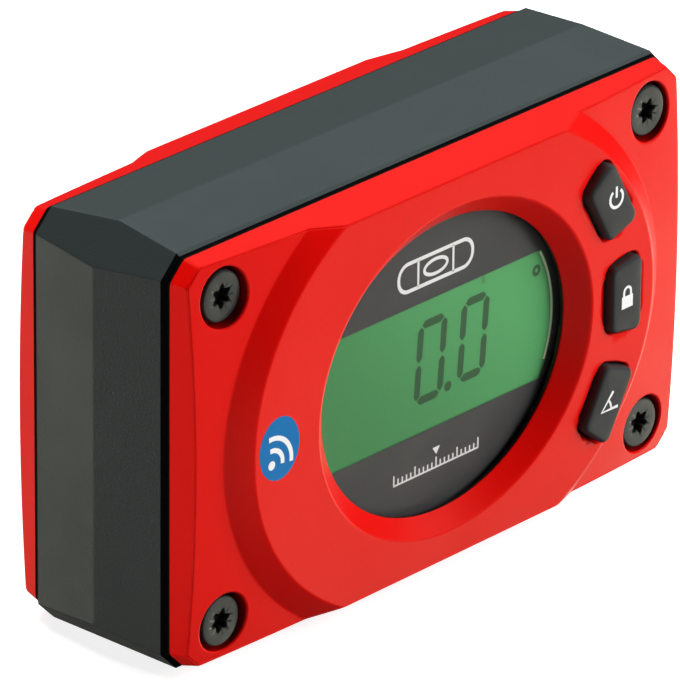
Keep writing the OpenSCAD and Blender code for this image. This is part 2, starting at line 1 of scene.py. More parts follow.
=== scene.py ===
# %% [markdown]
# # A pocket digital level
# The level is a dark moulded frame between two red covers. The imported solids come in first, as the fixed
# frame of everything else. Pieces that show get a finer mesh here, and the rest keep their solids and take
# a better finish. All sizes below are in millimetres, as on a drawing, and become metres in one place.

# %% Load the solids
import json
import math

import bpy
import numpy as np
from mathutils import Matrix, Vector
from mathutils.geometry import delaunay_2d_cdt


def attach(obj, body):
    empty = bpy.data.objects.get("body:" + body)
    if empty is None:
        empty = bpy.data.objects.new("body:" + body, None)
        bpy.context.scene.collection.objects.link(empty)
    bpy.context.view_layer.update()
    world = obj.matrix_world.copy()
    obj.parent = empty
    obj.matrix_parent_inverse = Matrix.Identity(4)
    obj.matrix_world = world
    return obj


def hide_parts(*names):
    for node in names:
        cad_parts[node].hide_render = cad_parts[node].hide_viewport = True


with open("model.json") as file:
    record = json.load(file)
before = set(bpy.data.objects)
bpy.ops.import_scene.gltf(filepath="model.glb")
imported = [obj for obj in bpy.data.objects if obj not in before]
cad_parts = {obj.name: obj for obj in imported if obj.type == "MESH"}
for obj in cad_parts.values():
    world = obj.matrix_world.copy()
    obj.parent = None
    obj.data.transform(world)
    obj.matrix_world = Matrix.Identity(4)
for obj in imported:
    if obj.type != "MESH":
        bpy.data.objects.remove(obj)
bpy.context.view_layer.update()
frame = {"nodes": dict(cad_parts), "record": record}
nodes = frame["nodes"]
scene = bpy.context.scene
scene.view_settings.view_transform = "Standard"
MM = 0.001

# %% [markdown]
# ## Sizes
# These are the casing's main sizes. Each face of the casing has its own flat frame: x to the right and
# v up on the face, seen from outside, and w out of it. Two small functions turn such points into the
# part's frame.

# %% Sizes and the two faces
HALF_X = 50.0
HALF_Z = 29.8
END = 11.7
SEAT = 12.2
COVER_INSET = 0.6
CORNER_CUT = 3.0
RIDGE = 1.0
EDGE_BEVEL = 0.6
DRAFT = 0.25
DOME_LEVEL = 17.8
DOME_RADII = (600.0, 300.0)
BOSS_LEVEL = 18.6
CROWN_RADIUS = 600.0
BOSS_FOOT = 15.0
BOSS_HALF = (45.2, 36.9)
BOSS_SLOPE = 1.42
WINDOW_HALF = (24.4, 21.1)
LIP = 15.9
DISH_LIP = 0.2
DISH_SLOPE = 1.2
WINDOW = 15.4
WINDOW_BACK = 14.63
SCREW = (42.4, 23.3)
HEAD_SEAT = 12.7
HEAD_TOP = 14.8
RECESS = 4.2


def front(points):
    """Points (x, v, w) on the display side, in metres in the part's frame."""
    p = np.asarray(points, float)
    return np.stack([p[..., 0], -p[..., 2], p[..., 1] + HALF_Z], -1) * MM


def rear(points):
    """Points (x, v, w) on the battery side, seen from behind."""
    p = np.asarray(points, float)
    return np.stack([-p[..., 0], p[..., 2], p[..., 1] + HALF_Z], -1) * MM


def whole(points):
    """Points that are already in the part's frame."""
    return np.asarray(points, float) * MM


print("front face at", front([0, 0, END]).round(4).tolist())

# %% [markdown]
# ## Camera
# The photograph looks at the level from its left and from above, with a long lens. The camera stands on
# that line of sight, and its three axes are written out so that the slight roll is kept.

# %% Camera
AZIMUTH, ELEVATION, ROLL = np.radians([-48.08, 24.37, 0.54])
DISTANCE, FOCAL, SLIDE, LIFT = 1162.86, 8648.52, -1.99, -1.3
back = np.array([math.sin(AZIMUTH) * math.cos(ELEVATION),
                 -math.cos(AZIMUTH) * math.cos(ELEVATION), math.sin(ELEVATION)])
right = np.cross(-back, [0, 0, 1])
right /= np.linalg.norm(right)
up = np.cross(right, -back)
axis_x = right * math.cos(ROLL) + up * math.sin(ROLL)
axis_y = up * math.cos(ROLL) - right * math.sin(ROLL)
spot = back * DISTANCE + right * SLIDE + up * LIFT + np.array([0, 0, HALF_Z])
camera = bpy.data.objects.new("camera", bpy.data.cameras.new("camera"))
scene.collection.objects.link(camera)
camera.data.sensor_width = 36
camera.data.sensor_fit = "HORIZONTAL"
camera.data.lens = 36 * FOCAL / 680
camera.data.clip_start = 0.05
camera.data.clip_end = 50
pose = Matrix.Identity(4)
for column, axis in enumerate((axis_x, axis_y, back)):
    for row in range(3):
        pose[row][column] = axis[row]
pose.translation = Vector((spot * MM).tolist())
camera.matrix_world = pose
scene.camera = camera
print("camera at", [round(v, 3) for v in pose.translation], "lens", round(camera.data.lens, 1))

# %% [markdown]
# ## Helpers for finishes
# Moulded plastic is never one flat colour: it drifts a little, it has a fine spark-eroded grain, and its
# gloss varies where it was handled. These effects are needed by many finishes, so each is a node group.

# %% Node group helpers
def new_group(name, inputs, outputs):
    """A shader node group with named sockets; returns the group and its two end nodes."""
    group = bpy.data.node_groups.new(name, "ShaderNodeTree")
    for label, kind, value in inputs:
        socket = group.interface.new_socket(name=label, in_out="INPUT", socket_type=kind)
        socket.default_value = value
    for label, kind in outputs:
        group.interface.new_socket(name=label, in_out="OUTPUT", socket_type=kind)
    return group, group.nodes.new("NodeGroupInput"), group.nodes.new("NodeGroupOutput")


def place(tree, kind, **values):
    """A node with its properties and plain input values."""
    node = tree.nodes.new(kind)
    for key, value in values.items():
        if hasattr(node, key):
            setattr(node, key, value)
        else:
            node.inputs[key.replace("_", " ")].default_value = value
    return node


# %% Group: fine moulded grain
grain_group, grain_in, grain_out = new_group(
    "moulded_grain",
    [("Vector", "NodeSocketVector", (0, 0, 0)), ("Scale", "NodeSocketFloat", 3000.0)],
    [("Height", "NodeSocketFloat")])
link = grain_group.links.new
noise = place(grain_group, "ShaderNodeTexNoise", Detail=3.0, Roughness=0.6)
cells = place(grain_group, "ShaderNodeTexVoronoi", feature="SMOOTH_F1")
mix = place(grain_group, "ShaderNodeMath", operation="MULTIPLY_ADD")
mix.inputs[1].default_value = 0.6
for texture in (noise, cells):
    link(grain_in.outputs["Vector"], texture.inputs["Vector"])
    link(grain_in.outputs["Scale"], texture.inputs["Scale"])
link(cells.outputs["Distance"], mix.inputs[0])
link(noise.outputs["Fac"], mix.inputs[2])
link(mix.outputs[0], grain_out.inputs["Height"])
print("group", grain_group.name)

# %% Group: slow drift of colour and gloss
drift_group, drift_in, drift_out = new_group(
    "slow_drift",
    [("Vector", "NodeSocketVector", (0, 0, 0)), ("Scale", "NodeSocketFloat", 60.0),
     ("Colour A", "NodeSocketColor", (1, 1, 1, 1)), ("Colour B", "NodeSocketColor", (1, 1, 1, 1)),
     ("Rough A", "NodeSocketFloat", 0.4), ("Rough B", "NodeSocketFloat", 0.5)],
    [("Color", "NodeSocketColor"), ("Roughness", "NodeSocketFloat")])
link = drift_group.links.new
slow = place(drift_group, "ShaderNodeTexNoise", Detail=4.0, Roughness=0.65)
tint = place(drift_group, "ShaderNodeMix", data_type="RGBA")
gloss = place(drift_group, "ShaderNodeMapRange")
gloss.inputs["From Min"].default_value = 0.3
gloss.inputs["From Max"].default_value = 0.7
link(drift_in.outputs["Vector"], slow.inputs["Vector"])
link(drift_in.outputs["Scale"], slow.inputs["Scale"])
link(slow.outputs["Fac"], tint.inputs[0])
link(drift_in.outputs["Colour A"], tint.inputs[6])
link(drift_in.outputs["Colour B"], tint.inputs[7])
link(slow.outputs["Fac"], gloss.inputs["Value"])
link(drift_in.outputs["Rough A"], gloss.inputs["To Min"])
link(drift_in.outputs["Rough B"], gloss.inputs["To Max"])
link(tint.outputs[2], drift_out.inputs["Color"])
link(gloss.outputs["Result"], drift_out.inputs["Roughness"])
print("group", drift_group.name)

# %% [markdown]
# ## Finishes
# One function makes a finish: the drift group feeds colour and roughness, and the grain group feeds a
# bump. What is the same all over the surface, such as metal or coat, is set on the shader itself.

# %% Finishes of the casing
finishes = {}


def finish(slot, colour, other=None, rough=(0.4, 0.5), grain=(3000, 0.02), drift=60, **plain):
    """A finish for one material slot of the part."""
    material = bpy.data.materials.new(slot)
    material.use_nodes = True
    tree = material.node_tree
    shader = tree.nodes["Principled BSDF"]
    where = tree.nodes.new("ShaderNodeTexCoord")
    slow_node = tree.nodes.new("ShaderNodeGroup")
    slow_node.node_tree = drift_group
    slow_node.inputs["Scale"].default_value = drift
    slow_node.inputs["Colour A"].default_value = (*colour, 1)
    slow_node.inputs["Colour B"].default_value = (*(other or [c * 0.9 for c in colour]), 1)
    slow_node.inputs["Rough A"].default_value = rough[0]
    slow_node.inputs["Rough B"].default_value = rough[1]
    tree.links.new(where.outputs["Object"], slow_node.inputs["Vector"])
    tree.links.new(slow_node.outputs["Color"], shader.inputs["Base Color"])
    tree.links.new(slow_node.outputs["Roughness"], shader.inputs["Roughness"])
    if grain[1]:
        grain_node = tree.nodes.new("ShaderNodeGroup")
        grain_node.node_tree = grain_group
        grain_node.inputs["Scale"].default_value = grain[0]
        bump = tree.nodes.new("ShaderNodeBump")
        bump.inputs["Strength"].default_value = 1.0
        bump.inputs["Distance"].default_value = grain[1] * MM
        tree.links.new(where.outputs["Object"], grain_node.inputs["Vector"])
        tree.links.new(grain_node.outputs["Height"], bump.inputs["Height"])
        tree.links.new(bump.outputs["Normal"], shader.inputs["Normal"])
    for key, value in plain.items():
        shader.inputs[key.replace("_", " ")].default_value = value
    finishes[slot] = material
    return material


finish("red_plastic", (0.74, 0.0030, 0.0018), (0.67, 0.0025, 0.0015), (0.30, 0.38), (3200, 0.012), 40,
       Specular_IOR_Level=0.22, Specular_Tint=(1.0, 0.9, 0.7, 1.0))
finish("frame_plastic", (0.028, 0.034, 0.034), (0.022, 0.027, 0.027), (0.30, 0.40), (3600, 0.035), 50,
       Specular_IOR_Level=1.0)
# Painted shade: a darker red for the walls of the screw recesses, standing in for the shade that falls in
# them.
finish("recess_painted_shade_red", (0.30, 0.0015, 0.001), None, (0.4, 0.5), (3200, 0.012), 40, Specular_IOR_Level=0.1)
finish("seal_rubber", (0.003, 0.003, 0.003), None, (0.6, 0.75), (4000, 0.01), Specular_IOR_Level=0.15)
finish("key_rubber", (0.040, 0.041, 0.041), (0.033, 0.034, 0.034), (0.5, 0.62), (5000, 0.008), 150)
finish("black_screw", (0.046, 0.050, 0.050), (0.034, 0.037, 0.037), (0.30, 0.42), (6000, 0.004), 300,
       Metallic=0.5)
finish("bezel_black", (0.006, 0.006, 0.006), None, (0.4, 0.5), (4000, 0.006))
print("finishes", sorted(finishes))

# %% Finishes of the pieces inside
finish("light_guide", (0.7, 0.85, 0.65), None, (0.25, 0.35), (3000, 0))
finish("white_plastic", (0.75, 0.75, 0.72), None, (0.45, 0.55), (3000, 0.01))
finish("connector_rubber", (0.5, 0.25, 0.3), (0.45, 0.2, 0.26), (0.6, 0.7), (3000, 0.01), 400)
finish("board_green", (0.02, 0.14, 0.06), (0.016, 0.11, 0.05), (0.3, 0.4), (3000, 0.004), 200)
finish("zinc_screw", (0.6, 0.6, 0.6), (0.5, 0.5, 0.48), (0.28, 0.4), (5000, 0.003), 400, Metallic=1.0)
finish("chip_black", (0.02, 0.02, 0.022), None, (0.5, 0.6), (6000, 0.006))
finish("shield_metal", (0.6, 0.61, 0.62), (0.52, 0.53, 0.54), (0.3, 0.42), (4000, 0.002), 300, Metallic=1.0)
finish("switch_plastic", (0.04, 0.042, 0.045), None, (0.5, 0.6), (4000, 0.006))
finish("plunger_plastic", (0.6, 0.57, 0.48), None, (0.4, 0.5), (4000, 0.004))
finish("tray_plastic", (0.025, 0.026, 0.028), (0.02, 0.02, 0.022), (0.48, 0.6), (3000, 0.02))
finish("cell_wrap", (0.55, 0.4, 0.08), (0.5, 0.35, 0.07), (0.22, 0.3), (3000, 0.002), 120)
finish("contact_nickel", (0.75, 0.75, 0.73), (0.66, 0.65, 0.62), (0.18, 0.3), (4000, 0.002), 400,
       Metallic=1.0)
finish("magnet_nickel", (0.55, 0.55, 0.56), (0.45, 0.45, 0.46), (0.2, 0.34), (3000, 0.003), 200,
       Metallic=1.0)
print("finishes", len(finishes))

# %% [markdown]
# ## Finishes of the display
# The window is clear, with very little gloss, so that the display stays free of grain. Light has to reach
# the display under it, so every ray but those from the camera passes straight through. The display is a
# green film with a slow change of tone, painted shade towards its lower left and a painted highlight
# along its right edge.

# %% Finishes of the display and the prints
lcd_green = finish("lcd_green", (0.080, 0.315, 0.110), (0.076, 0.303, 0.105), (0.35, 0.45), (3000, 0), 25,
                   Specular_IOR_Level=0.2)
finish("lcd_ink", (0.036, 0.094, 0.042), (0.033, 0.088, 0.039), (0.4, 0.5), (3000, 0), 80,
       Specular_IOR_Level=0.2)
finish("lcd_faint", (0.05, 0.20, 0.062), None, (0.4, 0.5), (3000, 0), 80)
# Painted highlight: a pale colour for a thin line along the display's right edge, standing in for light at
# the film's edge.
finish("lcd_painted_highlight", (0.72, 0.90, 0.58), (0.68, 0.86, 0.54), (0.4, 0.5), (3000, 0), 80)
finish("mask_grey", (0.045, 0.045, 0.046), (0.041, 0.041, 0.042), (0.45, 0.55), (3000, 0), 60)
finish("print_light", (0.74, 0.74, 0.72), (0.68, 0.68, 0.66), (0.5, 0.6), (4000, 0.003), 300)
finish("print_white", (0.85, 0.86, 0.85), (0.80, 0.81, 0.80), (0.45, 0.55), (4000, 0.003), 300)
finish("print_blue", (0.002, 0.15, 0.40), (0.001, 0.135, 0.37), (0.3, 0.4), (4000, 0.003), 300,
       Specular_IOR_Level=0.15)

# %% Painted shade on the green film
tree = lcd_green.node_tree
where = tree.nodes["Texture Coordinate"]
# Painted shade: the film's colour is multiplied darker towards its lower left, standing in for the shade of
# the mask and the lip on it.
across = place(tree, "ShaderNodeVectorMath", operation="DOT_PRODUCT")
across.inputs[1].default_value = (0.7, 0.0, 0.7)
shade_ramp = place(tree, "ShaderNodeMapRange", interpolation_type="SMOOTHSTEP")
for label, value in (("From Min", 0.005), ("From Max", 0.037), ("To Min", 0.68), ("To Max", 1.0)):
    shade_ramp.inputs[label].default_value = value
shade = place(tree, "ShaderNodeMix", data_type="RGBA", blend_type="MULTIPLY")
shade.inputs[0].default_value = 1.0
tree.links.new(where.outputs["Object"], across.inputs[0])
tree.links.new(across.outputs["Value"], shade_ramp.inputs["Value"])
tree.links.new(tree.nodes["Group"].outputs["Color"], shade.inputs[6])
tree.links.new(shade_ramp.outputs["Result"], shade.inputs[7])
tree.links.new(shade.outputs[2], tree.nodes["Principled BSDF"].inputs["Base Color"])
print("green film shaded")

# %% Clear window
glass = bpy.data.materials.new("window_clear")
glass.use_nodes = True
tree = glass.node_tree
clear = tree.nodes["Principled BSDF"]
clear.inputs["Base Color"].default_value = (1, 1, 1, 1)
clear.inputs["Roughness"].default_value = 0.02
clear.inputs["IOR"].default_value = 1.04
clear.inputs["Transmission Weight"].default_value = 1.0
through = tree.nodes.new("ShaderNodeBsdfTransparent")
path = tree.nodes.new("ShaderNodeLightPath")
choose = tree.nodes.new("ShaderNodeMixShader")
tree.links.new(path.outputs["Is Camera Ray"], choose.inputs[0])
tree.links.new(through.outputs[0], choose.inputs[1])
tree.links.new(clear.outputs[0], choose.inputs[2])
tree.links.new(choose.outputs[0], tree.nodes["Material Output"].inputs["Surface"])
finishes["window_clear"] = glass
print("finishes", len(finishes))

# %% [markdown]
# ## Mesh helpers
# Most pieces are lofts: rings of points joined one after another. A piece says which slot its finish comes
# from, which moving body it rides on, and which solid it stands for.

# %% Pieces and lofts
def piece(name, points, faces, slot, body="housing", stands_for=None, normals=None, sharp=40, record=None):
    """A mesh piece in the part's frame; points are in metres."""
    mesh = bpy.data.meshes.new(name)
    mesh.from_pydata([tuple(map(float, p)) for p in points], [], faces)
    mesh.update()
    mesh.shade_smooth()
    if normals is not None:
        mesh.normals_split_custom_set_from_vertices([tuple(map(float, n)) for n in normals])
    else:
        mesh.set_sharp_from_angle(angle=math.radians(sharp))
    obj = bpy.data.objects.new(name, mesh)
    scene.collection.objects.link(obj)
    mesh.materials.append(finishes[slot])
    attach(obj, body)
    if stands_for:
        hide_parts(stands_for)
    return obj


def loft(rings, cap_first=False, cap_last=False, closed=True):
    """Points and faces of rings that have the same number of points."""
    rings = [np.asarray(r, float) for r in rings]
    count = len(rings[0])
    points = np.concatenate(rings)
    faces = []
    for level in range(len(rings) - 1):
        a, b = level * count, (level + 1) * count
        for i in range(count if closed else count - 1):
            j = (i + 1) % count
            faces.append((a + i, a + j, b + j, b + i))
    if cap_first:
        faces.append(tuple(range(count - 1, -1, -1)))
    if cap_last:
        last = (len(rings) - 1) * count
        faces.append(tuple(range(last, last + count)))
    return points, faces


def joined(parts):
    """Several (points, faces) as one."""
    points, faces, start = [], [], 0
    for p, f in parts:
        points.append(np.asarray(p, float))
        faces += [tuple(i + start for i in face) for face in f]
        start += len(p)
    return np.concatenate(points), faces


def round_polygon(corners, radius, steps=6, support=0.0):
    """Outline of a convex polygon, counterclockwise, with round corners.

    Support points close to each corner keep the flat sides flat in smooth shading."""
    corners = np.asarray(corners, float)
    outline = []
    for i in range(len(corners)):
        here, before, after = corners[i], corners[i - 1], corners[(i + 1) % len(corners)]
        a = (here - before) / np.linalg.norm(here - before)
        b = (after - here) / np.linalg.norm(after - here)
        turn = math.atan2(a[0] * b[1] - a[1] * b[0], a @ b)
        reach = radius * math.tan(turn / 2)
        centre = here - a * reach + radius * np.array([-a[1], a[0]])
        start = math.atan2(-a[0], a[1])
        arc = []
        for k in range(steps + 1):
            t = start + turn * k / steps
            arc.append(centre + radius * np.array([math.cos(t), math.sin(t)]))
        if support:
            arc = [arc[0] - a * support] + arc + [arc[-1] + b * support]
        outline += arc
    return np.array(outline)


def grown_polygon(corners, grow):
    """Corners of a convex polygon with every side moved out."""
    corners = np.asarray(corners, float)
    out = []
    for i in range(len(corners)):
        here, before, after = corners[i], corners[i - 1], corners[(i + 1) % len(corners)]
        a = (here - before) / np.linalg.norm(here - before)
        b = (after - here) / np.linalg.norm(after - here)
        normal_a, normal_b = np.array([a[1], -a[0]]), np.array([b[1], -b[0]])
        out.append(here + grow * (normal_a + normal_b) / (1 + normal_a @ normal_b))
    return np.array(out)


def with_level(outline, level):
    """A flat outline at one height w."""
    return np.column_stack([outline, np.full(len(outline), level)])


def ellipse(half, count=240, grow=0.0):
    t = np.linspace(0, 2 * math.pi, count, endpoint=False)
    return np.column_stack([(half[0] + grow) * np.cos(t), (half[1] + grow) * np.sin(t)])


print("helpers ready")

# %% [markdown]
# ## Surface of a cover
# A cover is a shallow dome with a wide raised boss. Its outer surface is a height over the flat outline:
# dome and boss are joined by a soft maximum, the dish is taken off by a soft minimum, and each edge is
# rounded over by its distance to the surface. A formula gives height and slope anywhere, so the mesh can
# be as fine as each edge needs and its shading stays smooth.

# %% Heights
CORNER_BLEND = 0.3
CROWN_BLEND = 0.16
FOOT_BLEND = 0.12
RIM_BLEND = 0.4
GROOVE = (0.12, 0.07)
SMALL_ROUND = 0.3


def soft_min(a, b, blend):
    share = np.clip(0.5 + 0.5 * (b - a) / blend, 0, 1)
    return b * (1 - share) + a * share - blend * share * (1 - share)


def soft_max(a, b, blend):
    return -soft_min(-a, -b, blend)


def ellipse_reach(x, v, half):
    """How much an ellipse has to grow to pass through a point."""
    grow = (np.hypot(x / half[0], v / half[1]) - 1) * min(half)
    for _ in range(8):
        a, b = half[0] + grow, half[1] + grow
        value = (x / a) ** 2 + (v / b) ** 2 - 1
        grow = grow + value / (2 * (x * x / a ** 3 + v * v / b ** 3) + 1e-9)
        grow = np.maximum(grow, 2.0 - min(half))
    return grow


def outline_depth(x, v):
    """Distance in from the cover's edge, with soft corners."""
    reach = HALF_X + HALF_Z - CORNER_CUT - COVER_INSET * math.sqrt(2)
    corner = (reach - np.abs(x) - np.abs(v)) / math.sqrt(2)
    sides = soft_min(HALF_X - COVER_INSET - np.abs(x), corner, CORNER_BLEND)
    return soft_min(sides, HALF_Z - COVER_INSET - np.abs(v), CORNER_BLEND)


def roundover(distance, radius):
    """Drop of a rounded edge at a distance from it."""
    d = np.clip(distance, 0, radius)
    return radius - np.sqrt(np.maximum(radius ** 2 - (radius - d) ** 2, 0))


def sag(t, radius):
    """Drop of an arc beside its top."""
    return radius - np.sqrt(radius ** 2 - t * t)


def cover_top(x, v):
    """Height of the cover's dome and boss."""
    dome = DOME_LEVEL - sag(x, DOME_RADII[0]) - sag(v, DOME_RADII[1])
    crown = BOSS_LEVEL - sag(v, CROWN_RADIUS)
    wall = BOSS_FOOT - ellipse_reach(x, v, BOSS_HALF) / BOSS_SLOPE
    return soft_max(dome, soft_min(crown, wall, CROWN_BLEND), FOOT_BLEND)


def crease_depth(x, v):
    """Distance in from the crease where the leaning rim meets the top."""
    return outline_depth(x, v) - (cover_top(x, v) - SEAT) * DRAFT


def cover_height(x, v):
    """Height of the cover's dome, boss and leaning rim, without openings."""
    top = soft_min(cover_top(x, v), SEAT + outline_depth(x, v) / DRAFT, RIM_BLEND)
    top = top - GROOVE[0] * np.exp(-((crease_depth(x, v) - 2 * GROOVE[1]) / GROOVE[1]) ** 2)
    for sx in (-1, 1):
        for sv in (-1, 1):
            away = np.hypot(x - sx * SCREW[0], v - sv * SCREW[1]) - RECESS
            top = top - roundover(away, SMALL_ROUND)
    return top


probe = np.array([0.0, 30.0, 45.0, 49.0])
print("heights along the middle", cover_height(probe, probe * 0).round(2).tolist())

# %% [markdown]
# ## Mesh of a cover
# The points are laid in rings along the edges, close together where the surface bends, and a constrained
# triangulation joins them. Each opening's edge is a fixed line there, and its wall hangs below it.

# %% Triangulated sheet with walls
def ring_at(depth_of, level, guide, inward):
    """Points square to a guide outline, inside it, where a depth function has a value."""
    low, high = np.full(len(guide), -0.5), np.full(len(guide), 3.5)
    for _ in range(40):
        middle = (low + high) / 2
        p = guide + inward * middle[:, None]
        inside = depth_of(p[:, 0], p[:, 1]) > level
        low, high = np.where(inside, low, middle), np.where(inside, middle, high)
    return guide + inward * high[:, None]


def even_outline(corners, spacing):
    """Points at an even spacing along a closed polygon."""
    out = []
    for i, here in enumerate(corners):
        after = corners[(i + 1) % len(corners)]
        count = max(1, int(np.linalg.norm(after - here) / spacing))
        out += [here + (after - here) * k / count for k in range(count)]
    return np.array(out)


def sheet(loops, extras, inside):
    """Triangles between closed loops (the outer one first); extras are (points, least gap) sets."""
    points, edges, ids = [], [], []
    for loop in loops:
        start, count = len(points), len(loop)
        points += [tuple(p) for p in loop]
        edges += [(start + i, start + (i + 1) % count) for i in range(count)]
        ids.append(range(start, start + count))
    size = 0.5
    cells_seen = {}
    for p in points:
        cells_seen.setdefault((int(p[0] // size), int(p[1] // size)), []).append(p)
    for group, gap in extras:
        group = group[inside(group[:, 0], group[:, 1])]
        for p in map(tuple, group):
            cx, cy = int(p[0] // size), int(p[1] // size)
            near = int(gap // size) + 1
            steps = range(-near, near + 1)
            around = [(cx + i, cy + j) for i in steps for j in steps]
            beside_p = (q for cell in around for q in cells_seen.get(cell, ()))
            if not any((q[0] - p[0]) ** 2 + (q[1] - p[1]) ** 2 < gap * gap for q in beside_p):
                cells_seen.setdefault((cx, cy), []).append(p)
                points.append(p)
    made = delaunay_2d_cdt([Vector(p) for p in points], edges, [], 0, 1e-5)
    flat = np.array([tuple(v) for v in made[0]])
    where = {}
    for new, old in enumerate(made[3]):
        for o in old:
            where[o] = new
    faces = np.array([f for f in made[2] if len(f) == 3])
    middle = flat[faces].mean(1)
    faces = faces[inside(middle[:, 0], middle[:, 1])]
    return flat, faces, [[where[i] for i in loop] for loop in ids]


def slope_normals(height, flat):
    """Unit normals (x, v, w) of a height surface."""
    step = 0.004
    x, v = flat[:, 0], flat[:, 1]
    dx = (height(x + step, v) - height(x - step, v)) / (2 * step)
    dv = (height(x, v + step) - height(x, v - step)) / (2 * step)
    n = np.column_stack([-dx, -dv, np.ones(len(flat))])
    return n / np.linalg.norm(n, axis=1)[:, None]


class Skin:
    """A mesh that is put together from a sheet and the walls under its edges."""

    def __init__(self, flat, faces, height):
        self.points = [np.column_stack([flat, height(flat[:, 0], flat[:, 1])])]
        self.normals = [slope_normals(height, flat)]
        self.faces = [tuple(map(int, f)) for f in faces]
        self.count = len(flat)

    def at(self, ids):
        return np.concatenate(self.points)[ids]

    def add_ring(self, ring, normals):
        self.points.append(ring)
        self.normals.append(normals)
        first = self.count
        self.count += len(ring)
        return list(range(first, self.count))

    def join(self, a, b):
        for i in range(len(a)):
            j = (i + 1) % len(a)
            self.faces.append((a[i], b[i], b[j], a[j]))

    def wall(self, ids, level, hole):
        """A straight wall from an edge down to a level; returns its lower ring."""
        order = list(reversed(ids)) if hole else list(ids)
        ring = self.at(order).copy()
        along = np.roll(ring[:, :2], -1, 0) - np.roll(ring[:, :2], 1, 0)
        out = np.column_stack([along[:, 1], -along[:, 0], np.zeros(len(ring))])
        out /= np.linalg.norm(out, axis=1)[:, None] + 1e-12
        ring[:, 2] = level
        lower = self.add_ring(ring, out)
        self.join(order, lower)
        return lower

    def shelf(self, ids, outline, level, facing=1):
        """A flat ledge from a ring to another outline with as many points."""
        ring = self.at(ids).copy()
        flat = np.tile([0.0, 0.0, float(facing)], (len(ids), 1))
        a = self.add_ring(ring, flat)
        b = self.add_ring(np.column_stack([outline, np.full(len(outline), level)]), flat)
        self.join(a, b)
        return b

    def piece(self, name, face, **words):
        points = np.concatenate(self.points)
        normals = face(np.concatenate(self.normals)) - face(np.zeros(3))
        return piece(name, face(points), self.faces, normals=normals / MM, **words)


def circle(centre, radius, count=72):
    return np.asarray(centre) + ellipse((radius, radius), count)


cover_corners = grown_polygon(
    [(HALF_X, -HALF_Z + CORNER_CUT), (HALF_X, HALF_Z - CORNER_CUT), (HALF_X - CORNER_CUT, HALF_Z),
     (-HALF_X + CORNER_CUT, HALF_Z), (-HALF_X, HALF_Z - CORNER_CUT), (-HALF_X, -HALF_Z + CORNER_CUT),
     (-HALF_X + CORNER_CUT, -HALF_Z), (HALF_X - CORNER_CUT, -HALF_Z)], -COVER_INSET)
cover_guide = even_outline(cover_corners, 0.5)
along = np.roll(cover_guide, -1, 0) - cover_guide
cover_inward = np.column_stack([-along[:, 1], along[:, 0]]) / np.linalg.norm(along, axis=1)[:, None]
cover_edge = ring_at(outline_depth, 1e-4, cover_guide, cover_inward)
ROUND_STEPS = [1 - math.cos(math.radians(a)) for a in (12, 24, 36, 48, 60, 72, 90)]
screw_spots = [(sx * SCREW[0], sv * SCREW[1]) for sx in (-1, 1) for sv in (-1, 1)]
crease_steps = [-0.25, -0.15, -0.1, -0.06, -0.02, 0.02, 0.05, 0.08, 0.11, 0.14, 0.17, 0.2, 0.24, 0.3, 0.6]
shared_extras = [(ring_at(crease_depth, d, cover_guide, cover_inward), 0.025) for d in crease_steps]
shared_extras += [(circle(c, RECESS + SMALL_ROUND * s), 0.03) for c in screw_spots for s in ROUND_STEPS]
boss_steps = [*np.arange(-5.5, -3.8, 0.1), -3.5, -3.1, -2.7, *np.arange(-2.3, 0.8, 0.1)]
for g in boss_steps:
    ring = ellipse(BOSS_HALF, 420, g)
    shared_extras.append((ring[crease_depth(ring[:, 0], ring[:, 1]) > 0.4], 0.08))
grid_x, grid_v = np.meshgrid(np.arange(-49, 49.1, 1.3), np.arange(-29, 29.1, 1.3))
fill = np.column_stack([grid_x.ravel(), grid_v.ravel()])
print("edge points", len(cover_edge))

# %% [markdown]
# ## Front cover
# The display side has the conical dish round the window and three key openings on a ring at its right.

# %% Key outlines
KEY_RING, KEY_ANGLE, KEY_TURN, KEY_GAP = 33.4, 26.0, 3.0, 0.3
KEY_CORNER = 1.3
KEY_TOP = 19.67
KEY_WALL_FOOT = 15.7
key_corners = [(-3.0, -4.7), (3.3, -5.75), (3.3, 5.75), (-3.0, 4.7)]
KEYS = {"power": 1, "hold": 0, "mode": -1}


def key_place(points, spot):
    """Points of a key's own frame on the face."""
    p = np.asarray(points, float)
    turn, own = math.radians(spot * KEY_ANGLE), math.radians(spot * (KEY_ANGLE + KEY_TURN))
    x = KEY_RING * math.cos(turn) + p[:, 0] * math.cos(own) - p[:, 1] * math.sin(own)
    v = KEY_RING * math.sin(turn) + p[:, 0] * math.sin(own) + p[:, 1] * math.cos(own)
    return np.column_stack([x, v, *p.T[2:]])


def key_outline(grow, steps=8):
    return round_polygon(grown_polygon(key_corners, grow), KEY_CORNER + grow, steps)


def key_distance(x, v, spot):
    """Distance out from a key's opening, along the face."""
    turn, own = math.radians(spot * KEY_ANGLE), math.radians(spot * (KEY_ANGLE + KEY_TURN))
    dx, dv = x - KEY_RING * math.cos(turn), v - KEY_RING * math.sin(turn)
    u, s = dx * math.cos(own) + dv * math.sin(own), dv * math.cos(own) - dx * math.sin(own)
    core = grown_polygon(key_corners, -KEY_CORNER)
    far = np.full(np.shape(u), 1e9)
    most = np.full(np.shape(u), -1e9)
    for i in range(4):
        a, b = core[i], core[(i + 1) % 4]
        along = b - a
        length = np.linalg.norm(along)
        along = along / length
        t = np.clip((u - a[0]) * along[0] + (s - a[1]) * along[1], 0, length)
        far = np.minimum(far, np.hypot(u - a[0] - t * along[0], s - a[1] - t * along[1]))
        most = np.maximum(most, (u - a[0]) * along[1] - (s - a[1]) * along[0])
    return np.where(most > 0, far, most) - KEY_CORNER - KEY_GAP


def front_height(x, v):
    top = cover_height(x, v)
    dish = LIP + DISH_LIP + ellipse_reach(x, v, WINDOW_HALF) / DISH_SLOPE
    top = soft_min(top, dish, 0.22)
    for spot in KEYS.values():
        top = top - roundover(key_distance(x, v, spot), SMALL_ROUND)
    return top


